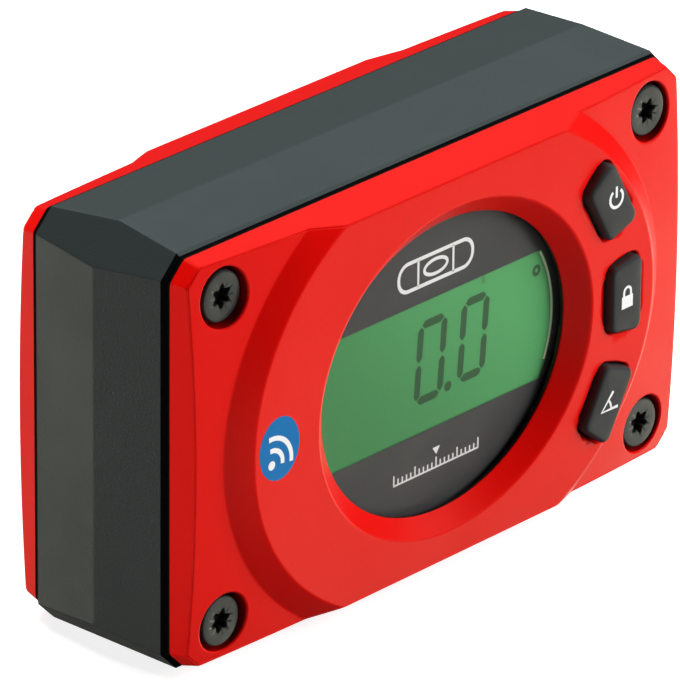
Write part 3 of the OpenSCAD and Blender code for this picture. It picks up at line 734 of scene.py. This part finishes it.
def front_inside(x, v):
    keep = (outline_depth(x, v) > 1e-4) & (ellipse_reach(x, v, WINDOW_HALF) > 1e-4)
    for c in screw_spots:
        keep &= np.hypot(x - c[0], v - c[1]) > RECESS * 0.9995
    for spot in KEYS.values():
        keep &= key_distance(x, v, spot) > -1e-3
    return keep


print("dish edge height", front_height(np.array([27.4]), np.array([0.0])).round(2))

# %% Front cover
lip_edge = ellipse(WINDOW_HALF, 300)
key_edges = [key_place(key_outline(KEY_GAP), spot) for spot in KEYS.values()]
loops = [cover_edge, lip_edge] + [circle(c, RECESS) for c in screw_spots] + key_edges
extras = list(shared_extras)
for spot in KEYS.values():
    extras += [(key_place(key_outline(KEY_GAP + SMALL_ROUND * s), spot), 0.03) for s in ROUND_STEPS]
    extras += [(key_place(key_outline(KEY_GAP + SMALL_ROUND + d), spot), 0.2) for d in (0.2, 0.5)]
extras += [(ellipse(WINDOW_HALF, 300, g), 0.1) for g in np.arange(0.15, 2.3, 0.3)]
extras += [(ellipse(WINDOW_HALF, 340, g), 0.08) for g in np.arange(2.2, 3.9, 0.12)]
extras.append((fill, 0.7))
flat, faces, ids = sheet(loops, extras, front_inside)
skin = Skin(flat, faces, front_height)
skin.wall(ids[1], LIP, True)
for ring in ids[6:]:
    skin.wall(ring, KEY_WALL_FOOT, True)
front_cover = skin.piece("front_cover_shell", front, slot="red_plastic", stands_for="front_cover")
print("front cover", len(front_cover.data.vertices), "points", len(front_cover.data.polygons), "faces")

# %% [markdown]
# ## Rear cover
# The battery side has the same dome and boss. Its opening for the cells has round corners and a ledge
# that the door rests on.

# %% Rear cover
DOOR_HALF = (30.55, 13.85)
DOOR_SHIFT = 3.2
DOOR_CORNER = 2.5
LEDGE = 15.85
TRAY = 14.05
CELL_ROOM = (25.75, 12.25)


def door_corners(grow):
    a, b = DOOR_HALF[0] + grow, DOOR_HALF[1] + grow
    return [(DOOR_SHIFT + a, -b), (DOOR_SHIFT + a, b), (DOOR_SHIFT - a, b), (DOOR_SHIFT - a, -b)]


def door_outline(grow, steps=10):
    corner = round_polygon(door_corners(grow), DOOR_CORNER + grow, steps)
    return even_outline(corner, 1.2)


def door_distance(x, v):
    """Distance out from the door's opening."""
    dx = np.abs(x - DOOR_SHIFT) - (DOOR_HALF[0] - DOOR_CORNER)
    dv = np.abs(v) - (DOOR_HALF[1] - DOOR_CORNER)
    return np.hypot(np.maximum(dx, 0), np.maximum(dv, 0)) + np.minimum(np.maximum(dx, dv), 0) - DOOR_CORNER


def rear_height(x, v):
    return cover_height(x, v) - roundover(door_distance(x, v), SMALL_ROUND)


def rear_inside(x, v):
    keep = (outline_depth(x, v) > 1e-4) & (door_distance(x, v) > -1e-3)
    for c in screw_spots:
        keep &= np.hypot(x - c[0], v - c[1]) > RECESS * 0.9995
    return keep


door_edge = door_outline(0)
loops = [cover_edge, door_edge] + [circle(c, RECESS) for c in screw_spots]
extras = list(shared_extras)
extras += [(door_outline(SMALL_ROUND * s), 0.03) for s in ROUND_STEPS]
extras += [(door_outline(SMALL_ROUND + d), 0.2) for d in (0.2, 0.6)]
extras.append((fill, 0.7))
flat, faces, ids = sheet(loops, extras, rear_inside)
skin = Skin(flat, faces, rear_height)
low = skin.wall(ids[1], LEDGE, True)
room_edge = skin.at(low)[:, :2].copy()
room_edge[:, 0] = np.clip(room_edge[:, 0], -CELL_ROOM[0], CELL_ROOM[0])
room_edge[:, 1] = np.clip(room_edge[:, 1], -CELL_ROOM[1], CELL_ROOM[1])
ledge = skin.shelf(low, room_edge, LEDGE)
below = skin.at(ledge).copy()
below[:, 2] = TRAY
inward = np.column_stack([-np.sign(below[:, 0]) * (np.abs(below[:, 0]) > CELL_ROOM[0] - 0.01),
                          -np.sign(below[:, 1]) * (np.abs(below[:, 1]) > CELL_ROOM[1] - 0.01),
                          np.full(len(below), 1e-3)])
inward /= np.linalg.norm(inward, axis=1)[:, None]
skin.join(skin.add_ring(skin.at(ledge).copy(), inward), skin.add_ring(below, inward))
rear_cover = skin.piece("rear_cover_shell", rear, slot="red_plastic", stands_for="rear_cover")
print("rear cover", len(rear_cover.data.vertices), "points")


# %% Walls of the screw recesses, in red darkened as painted shade
def recess(height, face, centre):
    """Points and faces of the round well that a screw's head lies in."""
    edge = circle(centre, RECESS)
    level = height(edge[:, 0], edge[:, 1])
    rings = [np.column_stack([edge, level - drop]) for drop in (0.0, 0.5)]
    rings += [with_level(edge, HEAD_SEAT), with_level(circle(centre, 1.75), HEAD_SEAT)]
    points, faces = loft(rings[::-1])
    return face(points), faces


for name, height, face in (("front", front_height, front), ("rear", rear_height, rear)):
    points, faces = joined([recess(height, face, c) for c in screw_spots])
    # The walls take the darker red: painted shade in the recesses.
    piece(f"{name}_screw_recesses", points, faces, "recess_painted_shade_red", record="red_plastic", sharp=35)
print("recesses", 2 * len(screw_spots))

# %% [markdown]
# ## Frame
# The frame is a moulded ring with a flat base, cut corners and a low ridge round its top and sides. It
# is lofted from front to back. Beside each cover its bevel is laid over with a near-black lip: partly the
# seal line, partly painted shade of the groove there, except along the top, where that line is thin. The
# base has two round pockets for magnets.

# %% Frame loft
FRAME_ROUND = 0.25
RIDGE_ROUND = (0.35, 0.12)


def frame_section(out, bevel=0.0):
    """Cross-section of the frame, (x, z): grown out at the top and the sides, drawn in by a bevel."""
    side, top = HALF_X + out - bevel, 2 * HALF_Z + out - bevel
    upper = HALF_X + 2 * HALF_Z - CORNER_CUT - bevel * math.sqrt(2)
    lower = HALF_X - CORNER_CUT - bevel * math.sqrt(2)
    corners = [(lower + bevel, bevel), (side, side - lower), (side, upper - side), (upper - top, top),
               (top - upper, top), (-side, upper - side), (-side, side - lower), (-lower - bevel, bevel)]
    return round_polygon(corners, FRAME_ROUND, 4, 0.5)


def frame_ring(y, out, bevel=0.0):
    section = frame_section(out, bevel)
    return np.column_stack([section[:, 0], np.full(len(section), y), section[:, 1]])


BEVEL_END = END - EDGE_BEVEL
half_stations = [BEVEL_END, BEVEL_END - 0.5, 7.0, 3.5, *RIDGE_ROUND]
stations = [-y for y in half_stations] + half_stations[::-1]
points, faces = loft([frame_ring(y, RIDGE * (1 - abs(y) / BEVEL_END)) for y in stations])
faces = [face for face in faces if max(points[i][2] for i in face) > 1e-6]
piece("frame_moulding", whole(points), faces, "frame_plastic", stands_for="frame", sharp=60)
print("frame", len(faces), "faces")

# %% Edges beside the seals, near-black as seal and painted shade
LIP_REACH = 2.6
LIP_BREAK = (0.15, 0.25)
for name, sign in (("front", -1), ("rear", 1)):
    lip = [frame_ring(sign * END, 0, EDGE_BEVEL + LIP_REACH), frame_ring(sign * END, 0, EDGE_BEVEL),
           frame_ring(sign * (END - LIP_BREAK[0]), 0, EDGE_BEVEL - LIP_BREAK[1]),
           frame_ring(sign * BEVEL_END, 0)]
    points, faces = loft(lip if sign < 0 else lip[::-1])
    high = points[:, 2] > 2 * HALF_Z - 0.4
    back_of_end = np.abs(points[:, 1]) < END - 0.1
    plain = [all(high[i] and back_of_end[i] for i in face) for face in faces]
    # The frame's bevel beside each cover takes near-black rubber: partly the seal, partly painted shade of
    # the groove there.
    dark = [face for face, is_plain in zip(faces, plain) if not is_plain]
    piece(f"{name}_painted_shade_seal_lip", whole(points), dark, "seal_rubber", sharp=30)
    upper = [face for face, is_plain in zip(faces, plain) if is_plain]
    piece(f"{name}_upper_bevel", whole(points), upper, "frame_plastic", sharp=30)
print("seal lips ready")


# %% Base with its magnet pockets
def below(points):
    """Points (x, v, w) on the base, seen from under it."""
    p = np.asarray(points, float)
    return np.stack([p[..., 0], -p[..., 1], -p[..., 2]], -1) * MM


POCKET = (28.0, 5.05, 2.3)
base_half = (HALF_X - CORNER_CUT - FRAME_ROUND * math.tan(math.pi / 8), BEVEL_END)
pockets = [(-POCKET[0], 0.0), (POCKET[0], 0.0)]


def base_inside(x, v):
    keep = (np.abs(x) < base_half[0] + 1e-6) & (np.abs(v) < base_half[1] + 1e-6)
    for c in pockets:
        keep &= np.hypot(x - c[0], v - c[1]) > POCKET[1] * 0.9995
    return keep


base_corners = np.array([(1, -1), (1, 1), (-1, 1), (-1, -1)]) * base_half
loops = [even_outline(base_corners, 3.0)] + [circle(c, POCKET[1]) for c in pockets]
flat, faces, ids = sheet(loops, [(fill, 1.0)], base_inside)
skin = Skin(flat, faces, lambda x, v: x * 0)
for ring in ids[1:]:
    skin.wall(ring, -POCKET[2], True)
base_face = skin.piece("frame_base_face", below, slot="frame_plastic")
print("base", len(base_face.data.polygons), "faces")

# %% [markdown]
# ## Solids that stay
# The seals, the magnets and the pieces inside are right as they are, so they keep their solids and only
# take a finish.

# %% Finish every solid
slot_of = {part["node"]: part["material_slot"] for part in frame["record"]["subparts"]}
for name, obj in nodes.items():
    slot_name = slot_of[name]
    obj.data.materials.clear()
    obj.data.materials.append(finishes[slot_name])
for name, width in (("battery_door", 0.2), ("door_screw", 0.12)):
    edges = nodes[name].modifiers.new("broken_edges", "BEVEL")
    edges.width = width * MM
    edges.segments = 2
    edges.limit_method = "ANGLE"
    edges.angle_limit = math.radians(50)
print("finished solids", len(nodes))

# %% [markdown]
# ## Cover screws
# Each corner has a pan head screw with a six-lobe socket. A head is turned from polar rings: the socket's
# outline waves six times round, and the outer edge is rounded.

# %% Screws
HEAD_RADIUS = 3.6
SOCKET = (1.38, 0.3, 1.3)


def head_rings(count=144):
    t = np.linspace(0, 2 * math.pi, count, endpoint=False)
    lobe = SOCKET[0] + SOCKET[1] * np.cos(6 * t)
    round_edge = 0.3

    def ring(radius, level):
        return np.column_stack([radius * np.cos(t), radius * np.sin(t), np.full(count, level)])

    rim = np.full(count, HEAD_RADIUS)
    rings = [ring(rim, HEAD_SEAT), ring(rim, HEAD_TOP - round_edge)]
    for a in (20, 40, 60, 80, 90):
        s = math.radians(a)
        rings.append(ring(rim - round_edge * (1 - math.cos(s)), HEAD_TOP - round_edge * (1 - math.sin(s))))
    rings += [ring(np.full(count, 2.4), HEAD_TOP), ring(lobe + 0.14, HEAD_TOP),
              ring(lobe + 0.11, HEAD_TOP - 0.02), ring(lobe, HEAD_TOP - 0.13),
              ring(lobe * 0.99, HEAD_TOP - SOCKET[2]), ring(lobe * 0.6, HEAD_TOP - SOCKET[2] - 0.05),
              ring(lobe * 0.02, HEAD_TOP - SOCKET[2] - 0.25)]
    return rings


heads = []
turns = [12, 27, 41, 5, 33, 19, 50, 8]
for number, (face, centre) in enumerate([(f, c) for f in (front, rear) for c in screw_spots]):
    points, faces = loft(head_rings())
    a = math.radians(turns[number])
    spin = np.array([[math.cos(a), -math.sin(a)], [math.sin(a), math.cos(a)]])
    points[:, :2] = points[:, :2] @ spin.T + centre
    heads.append((face(points), faces))
points, faces = joined(heads)
piece("cover_screw_heads", points, faces, "black_screw", stands_for="cover_screws", sharp=35)
print("screw heads", len(heads))

# %% [markdown]
# ## Keys
# The keys are moulded rubber with soft edges. A key is a loft of its own outline: straight walls, a
# rounded shoulder and a face that is slightly crowned.

# %% Keys
KEY_ROUND = 0.6
KEY_FOOT = 15.45
KEY_CROWN = 0.08


def key_rings():
    shoulder = KEY_TOP - KEY_CROWN
    rings = [with_level(key_outline(0), KEY_FOOT), with_level(key_outline(0), shoulder - KEY_ROUND)]
    for a in (15, 30, 45, 60, 75, 90):
        s = math.radians(a)
        rings.append(with_level(key_outline(-KEY_ROUND * (1 - math.cos(s))),
                                shoulder - KEY_ROUND * (1 - math.sin(s))))
    last = rings[-1]
    for share, level in ((0.8, KEY_TOP - 0.05), (0.55, KEY_TOP - 0.02), (0.28, KEY_TOP), (0.02, KEY_TOP)):
        ring = last.copy()
        ring[:, :2] *= share
        ring[:, 2] = level
        rings.append(ring)
    return rings


for name, spot in KEYS.items():
    points, faces = loft(key_rings(), cap_last=True)
    points = key_place(points, spot)
    key = piece(f"{name}_key_cap", front(points), faces, "key_rubber", f"{name}_button",
                stands_for=f"{name}_key", sharp=50)
    print(key.name, len(key.data.vertices))

# %% [markdown]
# ## Window
# The window sits a little under the red lip, in a black ring. A grey mask is printed behind it, with an
# opening for the green film of the display.

# %% Ring and window
bezel_rings = [with_level(ellipse(WINDOW_HALF, 240, 1.9), LIP - 0.02),
               with_level(ellipse(WINDOW_HALF, 240, 0.12), LIP - 0.02),
               with_level(ellipse(WINDOW_HALF, 240, 0.0), LIP - 0.12),
               with_level(ellipse(WINDOW_HALF, 240, 0.0), WINDOW + 0.02),
               with_level(ellipse(WINDOW_HALF, 240, 1.05), WINDOW + 0.02),
               with_level(ellipse(WINDOW_HALF, 240, 1.05), WINDOW_BACK - 0.05),
               with_level(ellipse(WINDOW_HALF, 240, 1.9), WINDOW_BACK - 0.05)]
points, faces = loft(bezel_rings + [bezel_rings[0]])
piece("window_ring", front(points), faces, "bezel_black", stands_for="window_bezel", sharp=35)
glass_rings = [with_level(ellipse(WINDOW_HALF, 240, 1.0), WINDOW_BACK),
               with_level(ellipse(WINDOW_HALF, 240, 1.0), WINDOW)]
points, faces = loft(glass_rings, cap_first=True, cap_last=True)
window = piece("window_pane", front(points), faces, "window_clear", stands_for="display_window", sharp=30)
print("window", len(window.data.polygons), "faces")

# %% Mask
BAND = (-9.5, 9.55)
MASK_RING = 0.6
mask_level = WINDOW_BACK - 0.05
mask_outer = ellipse(WINDOW_HALF, 240, 0.9)


def band_outline(grow):
    """Opening of the mask: a band of the window, drawn in from its sides."""
    shape = ellipse(WINDOW_HALF, 720, grow - MASK_RING)
    low, high = BAND[0] - grow, BAND[1] + grow
    keep = shape[(shape[:, 1] > low) & (shape[:, 1] < high)]
    a, b = WINDOW_HALF[0] + grow - MASK_RING, WINDOW_HALF[1] + grow - MASK_RING
    ends = [[s * a * math.sqrt(1 - (v / b) ** 2), v] for v in (low, high) for s in (-1, 1)]
    allp = np.concatenate([keep, ends])
    order = np.argsort(np.arctan2(allp[:, 1], allp[:, 0]))
    return even_outline(allp[order], 0.8)


opening = band_outline(0)


def mask_inside(x, v):
    in_band = (v > BAND[0]) & (v < BAND[1])
    in_round = ellipse_reach(x, v, (WINDOW_HALF[0] - MASK_RING, WINDOW_HALF[1] - MASK_RING)) < 0
    return ~(in_band & in_round) & (ellipse_reach(x, v, WINDOW_HALF) < 0.95)


flat, faces, ids = sheet([mask_outer, opening], [(fill, 0.8)], mask_inside)
points = np.column_stack([flat, np.full(len(flat), mask_level)])
piece("window_mask", front(points), [tuple(map(int, f)) for f in faces], "mask_grey", record="bezel_black")
film_level = mask_level - 0.15
film_edge = with_level(band_outline(0.6), film_level)
piece("lcd_film", front(film_edge), [tuple(range(len(film_edge)))], "lcd_green")
print("mask", len(faces), "film", len(film_edge))

# %% [markdown]
# ## Digits
# The display shows a level reading. Each digit is made of seven-segment bars with pointed ends, slanted a
# little, as thin dark shapes on the green film.

# %% Segments
INK = film_level + 0.02
BAR = 1.2
SLANT = 0.08


def bar(start, end, width):
    """A bar with pointed ends between two points of the display."""
    start, end = np.asarray(start, float), np.asarray(end, float)
    along = (end - start) / np.linalg.norm(end - start)
    side = np.array([-along[1], along[0]]) * width / 2
    tip = along * width / 2
    return np.array([start, start + tip + side, end - tip + side, end, end - tip - side, start + tip - side])


def flat_piece(name, outlines, level, slot, record, **words):
    parts = []
    for outline in outlines:
        outline = np.asarray(outline, float)
        x, v = outline[:, 0], outline[:, 1]
        if np.sum(x * np.roll(v, -1) - np.roll(x, -1) * v) < 0:
            outline = outline[::-1]
        parts.append((with_level(outline, level), [tuple(range(len(outline)))]))
    points, faces = joined(parts)
    return piece(name, front(points), faces, slot, record=record, **words)


def zero(x0, x1, v0, v1):
    """Bars of a zero in a box of the display."""
    gap, half, middle = 0.16, BAR / 2, (v0 + v1) / 2
    left, right_x, low, high = x0 + half, x1 - half, v0 + half, v1 - half
    bars = [((left + gap, high), (right_x - gap, high)), ((left + gap, low), (right_x - gap, low))]
    for x in (left, right_x):
        bars += [((x, low + gap), (x, middle - gap)), ((x, middle + gap), (x, high - gap))]
    shapes = []
    for a, b in bars:
        shape = bar(a, b, BAR)
        shape[:, 0] += SLANT * (shape[:, 1] - middle)
        shapes.append(shape)
    return shapes


digits = zero(-4.0, 1.9, -5.4, 6.7) + zero(4.7, 10.4, -4.95, 7.1)
digits.append(circle((2.5, -4.5), 0.72, 24))
flat_piece("lcd_digits", digits, INK, "lcd_ink", "lcd_green")
ring_out, ring_in = circle((20.3, 6.7), 0.85, 32), circle((20.3, 6.7), 0.3, 32)
points, faces = loft([with_level(ring_out, INK), with_level(ring_in, INK)])
piece("lcd_degree_ring", front(points), faces, "lcd_ink", record="lcd_green")
print("digit bars", len(digits))

# %% [markdown]
# ## Prints
# Plain signs stand where the casing is printed: a power sign, a padlock and an angle on the keys, a small
# vial and a scale on the mask, and radio waves on a blue spot. Each is made of ribbons of even width.

# %% Ribbons
def arc(centre, radius, first, last, count=24, flat=1.0):
    t = np.radians(np.linspace(first, last, count))
    return np.column_stack([centre[0] + radius * np.cos(t), centre[1] + radius * flat * np.sin(t)])


def ribbon(way, width, closed=False):
    """Points and faces of a flat ribbon along a line of points."""
    way = np.asarray(way, float)
    if closed:
        along = np.roll(way, -1, 0) - np.roll(way, 1, 0)
    else:
        along = np.gradient(way, axis=0)
    along /= np.linalg.norm(along, axis=1)[:, None]
    side = np.column_stack([-along[:, 1], along[:, 0]]) * width / 2
    return loft([way - side, way + side], closed=closed)


def disc(outline):
    outline = np.asarray(outline, float)
    return outline, [tuple(range(len(outline)))]


def printed(name, parts, level, slot, body="housing", move=None, record="bezel_black"):
    """A print made of flat parts, laid on a face at a level or on a height function."""
    flat, faces = joined(parts)
    if move is not None:
        flat = move(flat)
    height = level(flat[:, 0], flat[:, 1]) if callable(level) else np.full(len(flat), level)
    points = np.column_stack([flat, height])
    return piece(name, front(points), faces, slot, body, record=record)


print("ribbons ready")

# %% Signs on the keys
SIGN = KEY_TOP + 0.015
LINE = 0.45


def beside(place_x, place_v, turn=0.0):
    """Moves a sign's points to a place on the face."""
    a = math.radians(turn)
    spin = np.array([[math.cos(a), -math.sin(a)], [math.sin(a), math.cos(a)]])
    return lambda p: p @ spin.T + np.array([place_x, place_v])


power_sign = [ribbon(arc((0, 0), 1.3, 125, 415, 40), LINE), ribbon([(0, 0.1), (0, 1.75)], LINE)]
lock_sign = [disc([(-1.15, -1.5), (1.15, -1.5), (1.15, 0.3), (-1.15, 0.3)]),
             ribbon(np.concatenate([[(-0.72, 0.3)], arc((0, 0.85), 0.72, 180, 0), [(0.72, 0.3)]]), 0.4)]
angle_sign = [ribbon([(1.9, -1.0), (-1.5, -1.0), (0.9, 1.5)], LINE),
              ribbon(arc((-1.5, -1.0), 2.0, 2, 44), 0.35)]
signs = {"power": (power_sign, (0.6, 0.9)), "hold": (lock_sign, (0, 0)), "mode": (angle_sign, (0, 0))}
key_spots = {name: key_place(np.zeros((1, 2)), spot)[0] for name, spot in KEYS.items()}
for name, (sign, shift) in signs.items():
    x, v = key_spots[name] + np.array(shift)
    printed(f"{name}_sign", sign, SIGN, "print_white", f"{name}_button", beside(x, v), "key_rubber")
print("signs", list(key_spots))

# %% Prints behind the window
PRINT = mask_level + 0.012
VIAL_SPOT = (-0.4, 14.1)
SCALE_SPOT = (0.2, -15.6)
vial = [ribbon(round_polygon([(7.4, -2.0), (7.4, 2.0), (-7.4, 2.0), (-7.4, -2.0)], 1.9, 12), 0.55, True),
        ribbon(ellipse((2.3, 1.05), 40), 0.5, True)]
vial += [ribbon([(x, -2.0), (x, 2.0)], 0.4) for x in (-3.5, 3.5)]
printed("mask_vial_sign", vial, PRINT, "print_light", move=beside(*VIAL_SPOT))
ticks = []
for i in range(-10, 11):
    tall = 1.5 if i % 5 == 0 else 0.9
    ticks.append(ribbon([(i * 0.85, 0), (i * 0.85, tall)], 0.28))
ticks.append(ribbon([(-8.6, 0), (8.6, 0)], 0.28))
ticks.append(disc([(-0.75, 3.0), (0, 1.9), (0.75, 3.0)]))
printed("mask_scale_sign", ticks, PRINT, "print_light", move=beside(*SCALE_SPOT))
print("mask prints ready")

# %% Blue spot with radio waves
SPOT = (-35.3, 0.5)


def on_cover(x, v):
    return cover_height(x, v) + 0.015


def over_spot(x, v):
    return cover_height(x, v) + 0.03


spot_rings = [ellipse((3.85, 4.5), 96) * share for share in (1.0, 0.6, 0.2, 0.01)]
printed("radio_spot", [loft(spot_rings)], on_cover, "print_blue", move=beside(*SPOT), record="red_plastic")
waves = [disc(circle((-1.5, -2.0), 0.65, 24))]
waves += [ribbon(arc((-1.5, -2.0), radius, -8, 98), 0.7) for radius in (2.1, 3.8)]
printed("radio_waves", waves, over_spot, "print_white", move=beside(*SPOT), record="red_plastic")
print("spot ready")

# %% Painted highlight at the display's edge and a faint mark
edge_half = (WINDOW_HALF[0] - MASK_RING - 0.22, WINDOW_HALF[1] - MASK_RING - 0.22)
t = np.linspace(math.asin(-7.0 / edge_half[1]), math.asin(9.3 / edge_half[1]), 40)
painted_highlight_line = np.column_stack([edge_half[0] * np.cos(t), edge_half[1] * np.sin(t)])
# A pale ribbon along the film's right edge: a painted highlight.
printed("lcd_painted_highlight_line", [ribbon(painted_highlight_line, 0.4)], INK, "lcd_painted_highlight", record="lcd_green")
printed("lcd_faint_mark", [disc(ellipse((0.35, 0.7), 20))], INK, "lcd_faint", move=beside(9.4, 8.9),
        record="lcd_green")
print("gleam ready")

# %% [markdown]
# ## Light
# A plain studio. The wall behind the level and at its right is white, and the room on the camera's side is
# dark, which is what the plastic's gloss shows. A large soft lamp stands at the front right and a weaker
# one at the left and above. The floor shows white to the camera and still takes the level's shadow.

# %% Shading arithmetic
def times(tree, a, b):
    """A node that multiplies two values."""
    node = place(tree, "ShaderNodeMath", operation="MULTIPLY")
    tree.links.new(a, node.inputs[0])
    tree.links.new(b, node.inputs[1])
    return node.outputs[0]


def map_range(tree, value, source, target, smooth=True):
    """A node that maps one range of values on another."""
    node = place(tree, "ShaderNodeMapRange", interpolation_type="SMOOTHSTEP" if smooth else "LINEAR")
    for label, number in zip(("From Min", "From Max", "To Min", "To Max"), (*source, *target)):
        node.inputs[label].default_value = number
    tree.links.new(value, node.inputs["Value"])
    return node.outputs["Result"]


print("arithmetic ready")

# %% Floor
FLOOR_TONE = 0.5
FLOOR_WHITE = (0.8, 1.0)
FLOOR_FADE = (0.4, 1.5)

floor_mesh = bpy.data.meshes.new("floor")
floor_mesh.from_pydata([(-6, -6, 0), (6, -6, 0), (6, 6, 0), (-6, 6, 0)], [], [(0, 1, 2, 3)])
floor = bpy.data.objects.new("floor", floor_mesh)
scene.collection.objects.link(floor)
floor.location.z = -0.0002
floor.visible_glossy = False
pale = bpy.data.materials.new("pale_floor")
pale.use_nodes = True
tree = pale.node_tree
surface = tree.nodes["Principled BSDF"]
surface.inputs["Base Color"].default_value = (FLOOR_TONE, FLOOR_TONE, FLOOR_TONE, 1)
surface.inputs["Roughness"].default_value = 0.9
glow = place(tree, "ShaderNodeEmission", Color=(1, 1, 1, 1))
path = tree.nodes.new("ShaderNodeLightPath")
where = tree.nodes.new("ShaderNodeTexCoord")
away = place(tree, "ShaderNodeVectorMath", operation="LENGTH")
tree.links.new(where.outputs["Object"], away.inputs[0])
white = map_range(tree, away.outputs["Value"], FLOOR_FADE, FLOOR_WHITE)
seen = tree.nodes.new("ShaderNodeAddShader")
tree.links.new(times(tree, path.outputs["Is Camera Ray"], white), glow.inputs["Strength"])
tree.links.new(surface.outputs[0], seen.inputs[0])
tree.links.new(glow.outputs[0], seen.inputs[1])
tree.links.new(seen.outputs[0], tree.nodes["Material Output"].inputs["Surface"])
floor_mesh.materials.append(pale)
print("floor ready")

# %% Walls of the room
WALL_SIDE = (0.64, 0.77, 0.0)
WALL_EDGE = (-0.15, 0.13)
LOW_GLOW = (0.8, 3.9)
HIGH_GLOW = (0.04, 0.6)
HIGH_TINT = (0.82, 1.0, 1.0, 1.0)
LOW_TINT = (1.0, 0.97, 0.8, 1.0)


world = bpy.data.worlds.new("studio")
scene.world = world
world.use_nodes = True
tree = world.node_tree
sky = tree.nodes["Background"]
where = tree.nodes.new("ShaderNodeTexCoord")
axes = tree.nodes.new("ShaderNodeSeparateXYZ")
facing = place(tree, "ShaderNodeVectorMath", operation="DOT_PRODUCT")
facing.inputs[1].default_value = WALL_SIDE
tree.links.new(where.outputs["Generated"], axes.inputs[0])
tree.links.new(where.outputs["Generated"], facing.inputs[0])
wall = map_range(tree, facing.outputs["Value"], WALL_EDGE, (0.01, 1.0))
low = map_range(tree, axes.outputs["X"], (0.2, 0.8), LOW_GLOW)
high = map_range(tree, axes.outputs["Z"], (0.15, 0.6), HIGH_GLOW, False)
right_side = map_range(tree, axes.outputs["X"], (-0.4, 0.4), (0.03, 1.0))
far_side = map_range(tree, facing.outputs["Value"], (0.25, 0.6), (1.0, 0.65))
near_floor = map_range(tree, axes.outputs["Z"], (-0.64, -0.5), (0.05, 1.0))
upper = map_range(tree, axes.outputs["Z"], (-0.33, -0.2), (0.0, 1.0))
by_height = place(tree, "ShaderNodeMix", data_type="FLOAT")
path = tree.nodes.new("ShaderNodeLightPath")
level_mix = place(tree, "ShaderNodeMix", data_type="FLOAT")
level_mix.inputs[3].default_value = 1.0
tree.links.new(upper, by_height.inputs[0])
tree.links.new(times(tree, times(tree, low, far_side), near_floor), by_height.inputs[2])
tree.links.new(times(tree, high, right_side), by_height.inputs[3])
strength = times(tree, wall, by_height.outputs[0])
tree.links.new(path.outputs["Is Camera Ray"], level_mix.inputs[0])
tree.links.new(strength, level_mix.inputs[2])
tree.links.new(level_mix.outputs[0], sky.inputs["Strength"])
tone = place(tree, "ShaderNodeMix", data_type="RGBA")
tone.inputs[6].default_value = LOW_TINT
tone.inputs[7].default_value = HIGH_TINT
seen_white = place(tree, "ShaderNodeMix", data_type="RGBA")
seen_white.inputs[7].default_value = (1, 1, 1, 1)
tree.links.new(upper, tone.inputs[0])
tree.links.new(path.outputs["Is Camera Ray"], seen_white.inputs[0])
tree.links.new(tone.outputs[2], seen_white.inputs[6])
tree.links.new(seen_white.outputs[2], sky.inputs["Color"])
print("room ready")


# %% Lamps
def lamp(name, direction, distance, size, power):
    """A soft round lamp that looks at the level from a direction; the gloss shows the walls alone."""
    data = bpy.data.lights.new(name, "AREA")
    data.shape = "DISK"
    data.size = size
    data.energy = power
    obj = bpy.data.objects.new(name, data)
    scene.collection.objects.link(obj)
    way = Vector(direction).normalized()
    obj.location = way * distance + Vector((0, 0, HALF_Z * MM))
    obj.rotation_euler = way.to_track_quat("Z", "Y").to_euler()
    obj.visible_glossy = False
    return obj


lamp("right_lamp", (0.7, -0.66, 0.3), 1.3, 0.9, 23.5)
lamp("left_lamp", (-0.9, 0.2, 0.1), 1.2, 0.6, 10)
lamp("top_lamp", (0.1, 0.5, 1.0), 1.3, 0.8, 18)
print("lamps ready")
